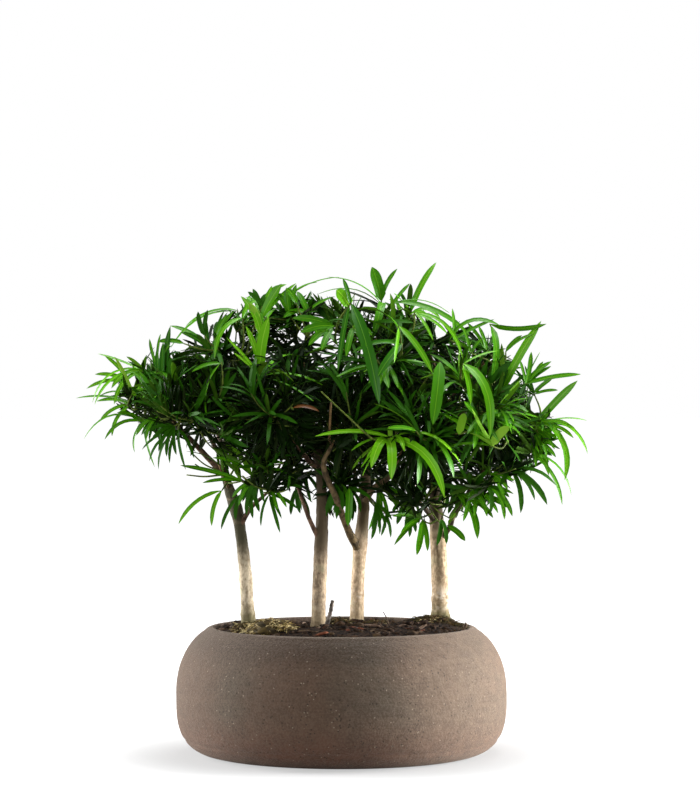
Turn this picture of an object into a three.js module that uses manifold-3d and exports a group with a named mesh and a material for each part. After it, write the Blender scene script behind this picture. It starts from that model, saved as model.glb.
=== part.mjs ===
// A podocarpus grown as a clump of four stems in a round stoneware bowl.
// Millimetres, +Z up, with the front towards -Y. The origin is the centre of the bowl's flat underside.
// Each stem carries boughs, and each bough a mass of foliage that keeps to a space of its own.

import * as THREE from "three";
import { mergeVertices } from "three/addons/utils/BufferGeometryUtils.js";
import Module from "manifold-3d";

const wasm = await Module();
wasm.setup();

// ---------------------------------------------------------------- driving dimensions

const GAP = 0.3; // air left between pieces that touch
const GOLDEN_ANGLE = Math.PI * (3 - Math.sqrt(5)); // turn from one leaf to the next round a shoot

const BOWL = {
  hubRadius: 70, // where the quarter arcs of the wall are centred
  bellyRadius: 105,
  bellyHeight: 36.5,
  shoulderHeight: 45, // of the upper arc, above the belly
  shoulderPower: 2.2, // how square the upper arc is
  footDepth: 37.8, // of the lower arc, below the belly
  footPower: 3,
  height: 79.4, // to the crown of the lip
  lipRadius: 82.4, // at that crown
  mouthRadius: 79.5,
  footRadius: 86,
  wall: 5.5,
  floor: 6,
  floorRadius: 86,
  sides: 32,
};

const SOIL = {
  height: 81.4, // in the middle of the bowl
  edgeDrop: 5.2, // down to the wall
  edgePower: 8,
  backSlope: 0.09, // how steeply it falls away behind the stems
  slopeFrom: -8, // the y where that slope starts
  topRings: [72, 64, 50, 36, 18, 0], // radii at which its top follows the mounds
  sunk: 1, // how far each stem's flat foot stands in its pocket
  mounds: [
    { at: [60, 10], height: 5, spread: 16 },
    { at: [0, -3], height: 2.4, spread: 10 },
    { at: [22, -3], height: 2, spread: 11 },
  ],
};

const MOSS = { at: [-44, -45], halfLength: 15, halfWidth: 13, height: 6.6 };

const DEAD_STUB = { foot: [-9.6, -29.5], lean: [4.2, -1], height: 16.6, girth: 1.5, tip: 1.1 };

const TWIG = { stem: 2.4, stemTip: 2, shoot: 1.1, shootTip: 0.8, sides: 3 }; // radii, but for the sides

// How the shoots of a mass stand on its stem. Lengths are shares of the mass's size.
const SHOOT = {
  count: 4, // where the mass doesn't name its own number
  firstOnStem: 0.4, // share of the stem's length
  lastOnStem: 0.9,
  longest: 0.8,
  shortest: 0.3,
  outward: 0.45, // pull away from the middle of the crown
  upward: 0.2,
  turnSlack: 0.6, // radians
};

const LEAF = {
  length: 56,
  lengthSlack: 0.25, // share of the length
  shortest: 31, // a leaf that has less room than this is left out
  width: 14,
  thickness: 1.3,
  waist: 0.42, // where it is widest, as a share of its length
  arch: 0.09, // height of the waist over the line from root to tip, as a share of the length
  onShoot: 6,
  firstRoot: 0.04, // below the tip of the shoot, as a share of the shoot's length
  lastRoot: 0.8,
  youngSpread: 0.3, // radians between the youngest leaves and their shoot
  oldSpread: 1.5,
  spreadSlack: 0.3,
  turnSlack: 0.5,
  tries: 10, // turns that are tried for a leaf before it is left out
  mostOverlap: 0.5, // cubic mm that a leaf may share with the rest of its mass, at its root
};

const SPACE_MARGIN = 0.2; // between a mass and the wall of its space
const BOUGH_REACH = 0.5; // how far a bough runs towards the middle of its mass
const STEM_OVERRUN = 0.15; // how far the stem of a mass runs past its middle

// Each stem: the middle line of its wood through a few heights, its radius above the flare and at the tip,
// how much wider its foot is, and the swelling where its lowest limbs leave.
const STEMS = {
  trunk_1: {
    line: [
      [-58.6, -8],
      [-61.4, -8, 122],
      [-65.6, -7, 150],
      [-74.4, -2, 181],
      [-70, 3, 212],
      [-66, 2, 234],
    ],
    girth: 4,
    tip: 1.1,
    flare: 1.1,
    swelling: { height: 156, girth: 0.9 },
  },
  trunk_2: {
    line: [
      [-14.6, -24],
      [-13.2, -20, 122],
      [-12.2, -12, 156],
      [-14, -5, 184],
      [-20, 2, 216],
      [-23, 2, 240],
    ],
    girth: 4.4,
    tip: 1.1,
    flare: 0.5,
    swelling: { height: 133, girth: 0.2 },
  },
  trunk_3: {
    line: [
      [9.5, 6],
      [11, 6, 119],
      [13.8, 6, 150],
      [16.2, 4, 185],
      [19.4, 2, 246],
    ],
    girth: 4.2,
    tip: 1.1,
    flare: 0.5,
    swelling: { height: 132, girth: 0.5 },
  },
  trunk_4: {
    line: [
      [63.2, 14],
      [62.4, 14, 119],
      [60.4, 13, 153],
      [59, 10, 188],
      [61, 4, 240],
    ],
    girth: 5.2,
    tip: 1.1,
    flare: 0.8,
    swelling: { height: 133, girth: 0.4 },
  },
};
const STEM_TAPER = { from: 0.2, power: 0.8 }; // share of a stem's length at which it starts to taper
const FLARE_HEIGHT = 7; // over which the flare of the foot dies away
const SWELLING_SPREAD = 9;
const BOUGH_TAPER = 0.62; // radius of a bough's tip as a share of its foot's
const BOUGH_SAG = 0.06; // of its length, where a bough has no bends of its own

// Each mass: the stem that bears it, the height at which its bough (or its own twig) forks from that stem,
// its middle and its half sizes. `via` holds the bends of a limb that shows below the crown, and `tips`
// the ends of the leaves that reach out of the crown's outline.
const MASSES = {
  left_far: {
    stem: "trunk_1", fork: 176, girth: 2.2, middle: [-118, -8, 222], half: [44, 44, 42],
    via: [[-82, -6, 184]],
    tips: [[-169, -8, 223], [-153, -2, 251], [-162, -4, 198], [-147, -18, 199]],
  },
  left_front: {
    stem: "trunk_1", fork: 187, girth: 1.9, middle: [-90, -50, 212], half: [42, 44, 44],
    tips: [[-118, -72, 182]],
  },
  left_back: {
    stem: "trunk_1", fork: 192, girth: 1.9, middle: [-88, 48, 218], half: [44, 44, 44],
  },
  left_top: {
    stem: "trunk_1", middle: [-68, 0, 254], half: [44, 44, 40],
    tips: [[-64, -4, 289], [-109, 0, 270], [-90, -10, 276]],
  },
  left_under: {
    stem: "trunk_1", fork: 164, middle: [-76, -14, 180], half: [26, 30, 32], shoots: 2,
    tips: [[-103, -20, 143], [-83, -26, 146], [-96, -18, 176]],
  },
  left_low: {
    stem: "trunk_1", fork: 143, girth: 1.7, middle: [-41, -27, 170], half: [30, 34, 34], shoots: 3,
    via: [[-57, -13, 155]],
    tips: [[-37, -34, 140], [-52, -36, 146]],
  },
  mid_left_front: {
    stem: "trunk_2", fork: 178, girth: 1.9, middle: [-44, -56, 216], half: [42, 42, 44],
  },
  mid_left_back: {
    stem: "trunk_2", fork: 184, girth: 1.9, middle: [-36, 56, 220], half: [44, 44, 46],
  },
  mid_left_top: {
    stem: "trunk_2", middle: [-29, -2, 262], half: [40, 46, 40],
    tips: [[-40, -6, 296], [-16, -8, 299], [-50, -14, 284]],
  },
  mid_left_low: {
    stem: "trunk_2", fork: 133, girth: 1.6, middle: [-36, 6, 190], half: [38, 40, 38],
    via: [[-20, -18, 148]],
  },
  mid_front: {
    stem: "trunk_3", fork: 126, girth: 2.5, middle: [-2, -52, 208], half: [38, 42, 44],
    via: [[4.6, -4, 140], [-4, -23, 163], [-11, -33, 182]],
  },
  mid_upper_front: {
    stem: "trunk_3", fork: 206, girth: 1.7, middle: [22, -50, 250], half: [42, 42, 38],
    tips: [[30, -66, 288]],
  },
  mid_top: {
    stem: "trunk_3", middle: [8, 2, 268], half: [36, 46, 38],
    tips: [[16, -4, 306]],
  },
  mid_back: {
    stem: "trunk_3", fork: 188, girth: 1.9, middle: [24, 60, 222], half: [44, 44, 46],
  },
  mid_low: {
    stem: "trunk_3", fork: 160, middle: [6, 8, 182], half: [38, 42, 42], shoots: 4,
    tips: [[2, -2, 140]],
  },
  bright_front: {
    stem: "trunk_3", fork: 158, girth: 2.1, middle: [42, -60, 200], half: [40, 40, 40],
    via: [[21, -10, 168], [30, -28, 175]],
    tips: [[68, -88, 176], [46, -92, 172]],
  },
  right_far: {
    stem: "trunk_4", fork: 182, girth: 2.2, middle: [118, -4, 212], half: [38, 46, 46],
    tips: [[157.5, -6, 191], [151, -4, 238], [145, -14, 168]],
  },
  right_top: {
    stem: "trunk_4", fork: 214, girth: 1.7, middle: [90, 0, 246], half: [44, 46, 36],
    tips: [[129, -8, 273], [97, -6, 276], [78, -16, 270], [112, -14, 256]],
  },
  right_peak: {
    stem: "trunk_4", middle: [46, 2, 264], half: [38, 46, 40],
    tips: [[60.5, -4, 310.4]],
  },
  right_front: {
    stem: "trunk_4", fork: 180, girth: 2, middle: [84, -56, 220], half: [42, 42, 44],
  },
  right_back: {
    stem: "trunk_4", fork: 186, girth: 2, middle: [82, 58, 222], half: [46, 46, 46],
  },
  right_low: {
    stem: "trunk_4", fork: 131, girth: 1.7, middle: [90, -14, 180], half: [44, 42, 40],
    via: [[69, 8, 142], [72, 3, 151]],
    tips: [[88, -30, 134], [113, -24, 150], [129, -16, 153]],
  },
  right_low_left: {
    stem: "trunk_4", fork: 144, girth: 2, middle: [46, -14, 162], half: [34, 34, 40], shoots: 4,
    via: [[54, 5, 153]],
    tips: [[53, -22, 126], [40, -20, 131]],
  },
};

// ---------------------------------------------------------------- colours

const stoneware = new THREE.MeshStandardMaterial({ color: 0x6f5d50, roughness: 0.9, metalness: 0 });
const earth = new THREE.MeshStandardMaterial({ color: 0x2b1c13, roughness: 1, metalness: 0 });
const moss = new THREE.MeshStandardMaterial({ color: 0x6b5a24, roughness: 1, metalness: 0 });
const bark = new THREE.MeshStandardMaterial({ color: 0x8d7c68, roughness: 0.9, metalness: 0 });
const deadWood = new THREE.MeshStandardMaterial({ color: 0x77706a, roughness: 0.9, metalness: 0 });
const foliage = new THREE.MeshStandardMaterial({ color: 0x2f5c14, roughness: 0.45, metalness: 0 });

// ---------------------------------------------------------------- solids

// A closed geometry as a solid that can be cut and joined.
function solidOf(geometry) {
  const shell = geometry.clone();
  shell.deleteAttribute("normal");
  shell.deleteAttribute("uv");
  const merged = mergeVertices(shell, 1e-4);
  return new wasm.Manifold(
    new wasm.Mesh({
      numProp: 3,
      vertProperties: merged.attributes.position.array,
      triVerts: new Uint32Array(merged.index.array),
    }),
  );
}

function geometryOf(solid) {
  const { vertProperties, triVerts } = solid.getMesh();
  return new THREE.BufferGeometry()
    .setAttribute("position", new THREE.BufferAttribute(vertProperties, 3))
    .setIndex(new THREE.BufferAttribute(triVerts, 1));
}

const group = new THREE.Group();

function addMesh(name, solid, material) {
  const geometry = geometryOf(solid);
  geometry.computeVertexNormals();
  const mesh = new THREE.Mesh(geometry, material);
  mesh.name = name;
  group.add(mesh);
}

// A profile of [radius, height] pairs turned round the Z axis.
function turned(profile, sides) {
  const points = profile.map(([radius, height]) => new THREE.Vector2(radius, height));
  return new THREE.LatheGeometry(points, sides).rotateX(Math.PI / 2);
}

// A closed tapering tube along a curve, with radiusAt(share of its length). A level foot is cut flat.
function limb(curve, radiusAt, sides, steps, levelFoot = false) {
  const geometry = new THREE.CylinderGeometry(1, 1, 1, sides, steps);
  const frames = curve.computeFrenetFrames(steps);
  const place = geometry.attributes.position;
  for (let i = 0; i < place.count; i++) {
    const step = Math.round((place.getY(i) + 0.5) * steps);
    const middle = curve.getPointAt(step / steps);
    const radius = radiusAt(step / steps);
    const spot = middle
      .clone()
      .addScaledVector(frames.normals[step], place.getX(i) * radius)
      .addScaledVector(frames.binormals[step], -place.getZ(i) * radius);
    if (levelFoot && step === 0) spot.z = middle.z;
    place.setXYZ(i, spot.x, spot.y, spot.z);
  }
  return solidOf(geometry);
}

function taper(from, to) {
  return (share) => from + (to - from) * share;
}

function vector([x, y, z]) {
  return new THREE.Vector3(x, y, z);
}

// The same run of numbers from the same seed, each from 0 to 1.
function seeded(seed) {
  let state = seed;
  return () => {
    state = (state * 16807) % 2147483647;
    return state / 2147483647;
  };
}

// ---------------------------------------------------------------- bowl, soil, moss

// One quarter of the wall: an arc from the belly to the height, `inset` mm inside the outer face.
function wallArc(inset, reach, power, towards, steps) {
  const across = BOWL.bellyRadius - BOWL.hubRadius - inset;
  const up = reach - inset;
  return Array.from({ length: steps + 1 }, (_, i) => {
    const turn = (i / steps) * (Math.PI / 2);
    const radius = BOWL.hubRadius + across * Math.cos(turn) ** (2 / power);
    const height = BOWL.bellyHeight + towards * up * Math.sin(turn) ** (2 / power);
    return [radius, height];
  });
}

// The hollow of the bowl from the middle of its floor up to its mouth, made `inset` mm smaller.
function cavity(inset) {
  const upper = wallArc(BOWL.wall + inset, BOWL.shoulderHeight, BOWL.shoulderPower, 1, 4);
  const lower = wallArc(BOWL.wall + inset, BOWL.footDepth, BOWL.footPower, -1, 4);
  return [
    [0, BOWL.floor + inset],
    [BOWL.floorRadius - inset, BOWL.floor + inset],
    ...lower.slice(0, 3).reverse(),
    ...upper.slice(1, 4),
  ];
}

function makeBowl() {
  const upper = wallArc(0, BOWL.shoulderHeight, BOWL.shoulderPower, 1, 7);
  const lower = wallArc(0, BOWL.footDepth, BOWL.footPower, -1, 6);
  const outside = [...lower.slice(0, 5).reverse(), ...upper.slice(1, 6)];
  const lip = [
    [BOWL.lipRadius, BOWL.height],
    [BOWL.lipRadius - 2, BOWL.height - 0.7],
    [BOWL.mouthRadius, BOWL.height - 3],
  ];
  const profile = [[0, 0], [BOWL.footRadius, 0], ...outside, ...lip, ...cavity(0).reverse()];
  return solidOf(turned(profile, BOWL.sides));
}

function soilHeight(x, y) {
  const edge = Math.min(1, Math.hypot(x, y) / BOWL.mouthRadius) ** SOIL.edgePower;
  const mounds = SOIL.mounds.reduce((sum, mound) => {
    const distance = Math.hypot(x - mound.at[0], y - mound.at[1]) / mound.spread;
    return sum + mound.height * Math.exp(-distance * distance);
  }, 0);
  const behind = SOIL.backSlope * Math.max(0, y - SOIL.slopeFrom);
  return SOIL.height - Math.max(SOIL.edgeDrop * edge, behind) + mounds * (1 - edge);
}

// Soil fills the bowl a gap clear of its wall, and its top ring by ring follows the mounds.
function makeSoil() {
  const topRings = [BOWL.mouthRadius - 3 * GAP, ...SOIL.topRings];
  const profile = [...cavity(GAP), ...topRings.map((radius) => [radius, SOIL.height])];
  const geometry = turned(profile, BOWL.sides);
  const place = geometry.attributes.position;
  for (let i = 0; i < place.count; i++) {
    const onTop = Math.abs(place.getZ(i) - SOIL.height) < 1e-3;
    if (onTop) place.setZ(i, soilHeight(place.getX(i), place.getY(i)));
  }
  return solidOf(geometry);
}

// A cushion of moss: a flattened ball whose lower half the soil takes away.
function makeMoss(raisedSoil) {
  const [x, y] = MOSS.at;
  const ball = new THREE.SphereGeometry(1, 12, 6)
    .scale(MOSS.halfLength, MOSS.halfWidth, MOSS.height)
    .translate(x, y, soilHeight(x, y));
  return solidOf(ball).subtract(raisedSoil);
}

// A short dead twig that stands in the soil.
function makeDeadStub() {
  const foot = new THREE.Vector3(...DEAD_STUB.foot, soilHeight(...DEAD_STUB.foot) + GAP);
  const top = foot.clone().add(new THREE.Vector3(...DEAD_STUB.lean, DEAD_STUB.height));
  return limb(new THREE.LineCurve3(foot, top), taper(DEAD_STUB.girth, DEAD_STUB.tip), 6, 2, true);
}

// ---------------------------------------------------------------- stems and boughs

function stemCurve(stem) {
  const [[x, y], ...above] = stem.line;
  const foot = new THREE.Vector3(x, y, soilHeight(x, y) - SOIL.sunk);
  return new THREE.CatmullRomCurve3([foot, ...above.map(vector)]);
}

function stemRadius(stem, curve, share) {
  const height = curve.getPointAt(share).z;
  const foot = curve.getPointAt(0).z;
  const left = Math.min(1, (1 - share) / (1 - STEM_TAPER.from)) ** STEM_TAPER.power;
  const wood = stem.tip + (stem.girth - stem.tip) * left;
  const flare = stem.flare * Math.exp(-(height - foot) / FLARE_HEIGHT);
  const fromSwelling = (height - stem.swelling.height) / SWELLING_SPREAD;
  return wood + flare + stem.swelling.girth * Math.exp(-fromSwelling * fromSwelling);
}

// The share of a stem's length at which it reaches a height.
function shareAtHeight(curve, height) {
  let low = 0;
  let high = 1;
  for (let i = 0; i < 24; i++) {
    const middle = (low + high) / 2;
    if (curve.getPointAt(middle).z < height) low = middle;
    else high = middle;
  }
  return low;
}

function makeStem(stem, grown) {
  const curve = stemCurve(stem);
  const radiusAt = (share) => stemRadius(stem, curve, share) + grown;
  return limb(curve, radiusAt, 10, 9, true);
}

// A bough leaves the middle of its stem and runs halfway to the middle of its mass.
function boughCurve(mass) {
  const stem = stemCurve(STEMS[mass.stem]);
  const start = stem.getPointAt(shareAtHeight(stem, mass.fork));
  const bends = (mass.via ?? []).map(vector);
  const last = bends.at(-1) ?? start;
  const end = last.clone().lerp(vector(mass.middle), BOUGH_REACH);
  if (!bends.length) {
    const sag = BOUGH_SAG * start.distanceTo(end);
    bends.push(start.clone().lerp(end, 0.5).add(new THREE.Vector3(0, 0, -sag)));
  }
  return new THREE.CatmullRomCurve3([start, ...bends, end]);
}

function makeBough(mass, grown) {
  const curve = boughCurve(mass);
  return limb(curve, taper(mass.girth + grown, mass.girth * BOUGH_TAPER + grown), 6, 3);
}

// ---------------------------------------------------------------- foliage

const massList = Object.entries(MASSES).map(([name, mass], index) => ({
  ...mass,
  name,
  seed: 101 + 37 * index,
  centre: vector(mass.middle),
  size: (mass.half[0] + mass.half[1] + mass.half[2]) / 3,
}));

// How far a point lies inside the space of a mass, which ends halfway to its neighbours by their sizes.
function roomAt(mass, point) {
  const own = point.distanceToSquared(mass.centre) - mass.size ** 2;
  return massList.reduce((room, other) => {
    if (other === mass) return room;
    const theirs = point.distanceToSquared(other.centre) - other.size ** 2;
    return Math.min(room, (theirs - own) / (2 * mass.centre.distanceTo(other.centre)));
  }, Infinity);
}

function insideHalfSizes(mass, point) {
  const [a, b, c] = mass.half;
  const from = point.clone().sub(mass.centre);
  return (from.x / a) ** 2 + (from.y / b) ** 2 + (from.z / c) ** 2 <= 1;
}

function keepsToSpace(mass, solid) {
  const { vertProperties, numProp } = solid.getMesh();
  for (let i = 0; i < vertProperties.length; i += numProp) {
    const point = new THREE.Vector3(vertProperties[i], vertProperties[i + 1], vertProperties[i + 2]);
    if (roomAt(mass, point) < SPACE_MARGIN) return false;
  }
  return true;
}

// An octahedron drawn out from root to tip, its waist raised so that the leaf arches.
function leafSolid(root, tip) {
  const along = tip.clone().sub(root);
  const length = along.length();
  const side = new THREE.Vector3(-along.y, along.x, 0);
  if (side.lengthSq() < 1e-6) side.set(1, 0, 0);
  side.normalize();
  const lift = new THREE.Vector3().crossVectors(along, side).normalize();
  if (lift.z < 0) lift.negate();
  const waist = root.clone().addScaledVector(along, LEAF.waist).addScaledVector(lift, LEAF.arch * length);
  const axes = new THREE.Matrix4().makeBasis(
    along.clone().divideScalar(length),
    side,
    new THREE.Vector3().crossVectors(along, side).normalize(),
  );
  const geometry = new THREE.OctahedronGeometry(1, 0);
  const place = geometry.attributes.position;
  for (let i = 0; i < place.count; i++) {
    const corner = new THREE.Vector3().fromBufferAttribute(place, i).round();
    let spot = waist.clone();
    if (corner.x < 0) spot = root.clone();
    if (corner.x > 0) spot = tip.clone();
    if (corner.x === 0) {
      const offset = new THREE.Vector3(0, corner.y * LEAF.width * 0.5, corner.z * LEAF.thickness * 0.5);
      spot.add(offset.applyMatrix4(axes));
    }
    place.setXYZ(i, spot.x, spot.y, spot.z);
  }
  return solidOf(geometry);
}

// The middle line of a mass's own stem. It starts just off the tip of the bough or the stem that bears it,
// or inside that stem where the mass grows from its side, and runs a little past the middle of the mass.
function massStem(mass) {
  const bearer = mass.girth ? boughCurve(mass) : stemCurve(STEMS[mass.stem]);
  const onSide = !mass.girth && mass.fork;
  const heading = bearer.getTangentAt(1);
  const start = onSide
    ? bearer.getPointAt(shareAtHeight(bearer, mass.fork))
    : bearer.getPointAt(1).addScaledVector(heading, GAP);
  const end = mass.centre.clone().lerp(start, -STEM_OVERRUN);
  if (onSide) return new THREE.LineCurve3(start, end);
  const bend = start.clone().lerp(end, 0.4).addScaledVector(heading, 0.1 * start.distanceTo(end));
  return new THREE.CatmullRomCurve3([start, bend, end]);
}

// The way that a shoot of a mass heads: spread evenly on a ball, then drawn outwards and up.
function shootHeading(mass, index, count, random) {
  const rise = 1 - (1.7 * (index + 0.5)) / count;
  const flat = Math.sqrt(1 - rise * rise);
  const turn = index * GOLDEN_ANGLE + random() * SHOOT.turnSlack;
  const outward = mass.centre.clone().setZ(0).normalize();
  return new THREE.Vector3(flat * Math.cos(turn), flat * Math.sin(turn), 0.8 * rise + SHOOT.upward)
    .addScaledVector(outward, SHOOT.outward)
    .normalize();
}

function growShoots(mass, stem, random, fits) {
  const shoots = [{ from: stem.getPointAt(0.6), to: stem.getPointAt(0.98), solid: null }];
  const count = mass.shoots ?? SHOOT.count;
  for (let i = 0; i < count; i++) {
    const onStem = SHOOT.firstOnStem + (SHOOT.lastOnStem - SHOOT.firstOnStem) * (i / count);
    const from = stem.getPointAt(onStem);
    const heading = shootHeading(mass, i, count, random);
    for (let reach = SHOOT.longest; reach > SHOOT.shortest; reach -= 0.1) {
      const to = from.clone().addScaledVector(heading, mass.size * reach);
      const line = new THREE.LineCurve3(from, to);
      const solid = limb(line, taper(TWIG.shoot, TWIG.shootTip), TWIG.sides, 1);
      if (!fits(solid)) continue;
      shoots.push({ from, to, solid });
      break;
    }
  }
  return shoots;
}

// A leaf that reaches out of the crown's outline grows from the nearest place on a shoot that has room.
function outlineLeaf(mass, shoots, tip, leafFits) {
  const rootsOn = ({ from, to }) => [0.95, 0.7, 0.45].map((share) => from.clone().lerp(to, share));
  const roots = shoots.flatMap(rootsOn);
  roots.sort((a, b) => a.distanceTo(tip) - b.distanceTo(tip));
  const leaf = roots.map((root) => leafSolid(root, tip)).find(leafFits);
  if (!leaf) throw new Error(mass.name + " has no room for its leaf to " + tip.toArray());
  return leaf;
}

// Leaf number `index` of a shoot, counted from its tip: the first stand near the shoot's own line and the
// older ones spread wider. A leaf is shortened to stay within the half sizes of its mass.
function leafOnShoot(mass, shoot, index, turn, random) {
  const age = index / LEAF.onShoot;
  const axis = shoot.to.clone().sub(shoot.from).normalize();
  const across = new THREE.Vector3(-axis.y, axis.x, 0.01).normalize();
  const around = new THREE.Vector3().crossVectors(axis, across);
  const spread = LEAF.youngSpread + (LEAF.oldSpread - LEAF.youngSpread) * age + LEAF.spreadSlack * random();
  const heading = axis
    .multiplyScalar(Math.cos(spread))
    .addScaledVector(across, Math.sin(spread) * Math.cos(turn))
    .addScaledVector(around, Math.sin(spread) * Math.sin(turn));
  const root = shoot.to.clone().lerp(shoot.from, LEAF.firstRoot + (LEAF.lastRoot - LEAF.firstRoot) * age);
  const tipAt = (length) => root.clone().addScaledVector(heading, length);
  let length = LEAF.length * (1 + LEAF.lengthSlack * (random() - 0.6));
  while (length > LEAF.shortest && !insideHalfSizes(mass, tipAt(length))) length *= 0.93;
  return length > LEAF.shortest ? leafSolid(root, tipAt(length)) : null;
}

function growMass(mass, limbs) {
  const random = seeded(mass.seed);
  const stem = massStem(mass);
  let solid = limb(stem, taper(TWIG.stem, TWIG.stemTip), TWIG.sides, 3).subtract(limbs);

  const fits = (piece) => keepsToSpace(mass, piece) && piece.intersect(limbs).isEmpty();
  const leafFits = (leaf) => fits(leaf) && leaf.intersect(solid).volume() < LEAF.mostOverlap;

  const shoots = growShoots(mass, stem, random, fits);
  for (const shoot of shoots.slice(1)) solid = solid.add(shoot.solid);
  for (const tip of mass.tips ?? []) solid = solid.add(outlineLeaf(mass, shoots, vector(tip), leafFits));

  shoots.forEach((shoot, shootIndex) => {
    for (let i = 0; i < LEAF.onShoot; i++) {
      for (let attempt = 0; attempt < LEAF.tries; attempt++) {
        const turn = (i + 2 * shootIndex + 0.35 * attempt) * GOLDEN_ANGLE + random() * LEAF.turnSlack;
        const leaf = leafOnShoot(mass, shoot, i, turn, random);
        if (!leaf || !leafFits(leaf)) continue;
        solid = solid.add(leaf);
        break;
      }
    }
  });
  return solid;
}

// ---------------------------------------------------------------- assembly

const stems = Object.entries(STEMS).map(([name, stem]) => ({
  name,
  solid: makeStem(stem, 0),
  grown: makeStem(stem, GAP),
}));
const stemsGrown = stems.map(({ grown }) => grown).reduce((all, one) => all.add(one));
const pockets = stemsGrown.add(stemsGrown.translate([0, 0, -GAP]));
const soil = makeSoil();

addMesh("bowl", makeBowl(), stoneware);
addMesh("soil", soil.subtract(pockets), earth);
addMesh("moss_cushion", makeMoss(soil.translate([0, 0, GAP])), moss);
addMesh("dead_stub", makeDeadStub(), deadWood);
for (const { name, solid } of stems) addMesh(name, solid, bark);

let limbs = stemsGrown;
for (const mass of massList.filter(({ girth }) => girth)) {
  addMesh("bough_" + mass.name, makeBough(mass, 0).subtract(limbs), bark);
  limbs = limbs.add(makeBough(mass, GAP));
}

for (const mass of massList) addMesh("foliage_" + mass.name, growMass(mass, limbs), foliage);

export default group;
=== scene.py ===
"""The looks of a podocarpus grown as a clump of four stems in a round stoneware bowl.

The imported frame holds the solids. Bark, twigs and leaves grow on from the same lines of wood by the same
seeded rule as the solids, and the rule is carried on here to finer twigs and to leaves of real size.
Lengths are in millimetres in the row's frame until a mesh is made, where MM turns them into metres.
"""

import math
from collections import namedtuple
from functools import partial

import bmesh
import bpy
import numpy as np
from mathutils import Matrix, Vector, noise


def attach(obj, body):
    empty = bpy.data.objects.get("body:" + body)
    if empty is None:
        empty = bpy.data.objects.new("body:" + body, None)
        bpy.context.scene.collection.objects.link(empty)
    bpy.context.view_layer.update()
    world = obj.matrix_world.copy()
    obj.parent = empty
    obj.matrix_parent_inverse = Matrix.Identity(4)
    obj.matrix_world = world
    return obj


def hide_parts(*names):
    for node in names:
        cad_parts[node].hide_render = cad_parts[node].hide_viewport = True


MM = 0.001
GOLDEN_ANGLE = math.pi * (3 - math.sqrt(5))

# ---------------------------------------------------------------- sizes shared with the solids

BOWL = {
    "hub_radius": 70,
    "belly_radius": 105,
    "belly_height": 36.5,
    "shoulder_height": 45,
    "shoulder_power": 2.2,
    "foot_depth": 37.8,
    "foot_power": 3,
    "height": 79.4,
    "lip_radius": 82.4,
    "mouth_radius": 79.5,
    "foot_radius": 86,
    "wall": 5.5,
}
SOIL = {
    "height": 81.4,
    "edge_drop": 5.2,
    "edge_power": 8,
    "back_slope": 0.09,
    "slope_from": -8,
    "sunk": 1,
    "mounds": [((60, 10), 5, 16), ((0, -3), 2.4, 10), ((22, -3), 2, 11)],
}
MOSS = {"at": (-44, -45), "half_length": 15, "half_width": 13, "height": 6.6}
DEAD_STUB = {"foot": (-9.6, -29.5), "lean": (4.2, -1), "height": 16.6, "girth": 1.5, "tip": 1.1, "sunk": 0.6}
STEM_TAPER = {"from": 0.2, "power": 0.8}
FLARE_HEIGHT = 7
SWELLING_SPREAD = 9
BOUGH_TAPER = 0.62
BOUGH_SAG = 0.06
BOUGH_REACH = 0.5
STEM_OVERRUN = 0.15
# A mass's own stem bends at this share of its way, and there keeps this much of its bough's heading.
STEM_BEND = {"at": 0.4, "carry": 0.1}

# The stems from left to right: the place of the foot on the soil and points further up, girths as radii, and
# the height and growth of the swelling.
STEMS = {
    "trunk_1": {
        "line": [
            (-58.6, -8), (-61.4, -8, 122), (-65.6, -7, 150), (-74.4, -2, 181), (-70, 3, 212), (-66, 2, 234),
        ],
        "girth": 4, "tip": 1.1, "flare": 1.1, "swelling": (156, 0.9),
    },
    "trunk_2": {
        "line": [
            (-14.6, -24), (-13.2, -20, 122), (-12.2, -12, 156), (-14, -5, 184), (-20, 2, 216), (-23, 2, 240),
        ],
        "girth": 4.4, "tip": 1.1, "flare": 0.5, "swelling": (133, 0.2),
    },
    "trunk_3": {
        "line": [(9.5, 6), (11, 6, 119), (13.8, 6, 150), (16.2, 4, 185), (19.4, 2, 246)],
        "girth": 4.2, "tip": 1.1, "flare": 0.5, "swelling": (132, 0.5),
    },
    "trunk_4": {
        "line": [(63.2, 14), (62.4, 14, 119), (60.4, 13, 153), (59, 10, 188), (61, 4, 240)],
        "girth": 5.2, "tip": 1.1, "flare": 0.8, "swelling": (133, 0.4),
    },
}

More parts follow.
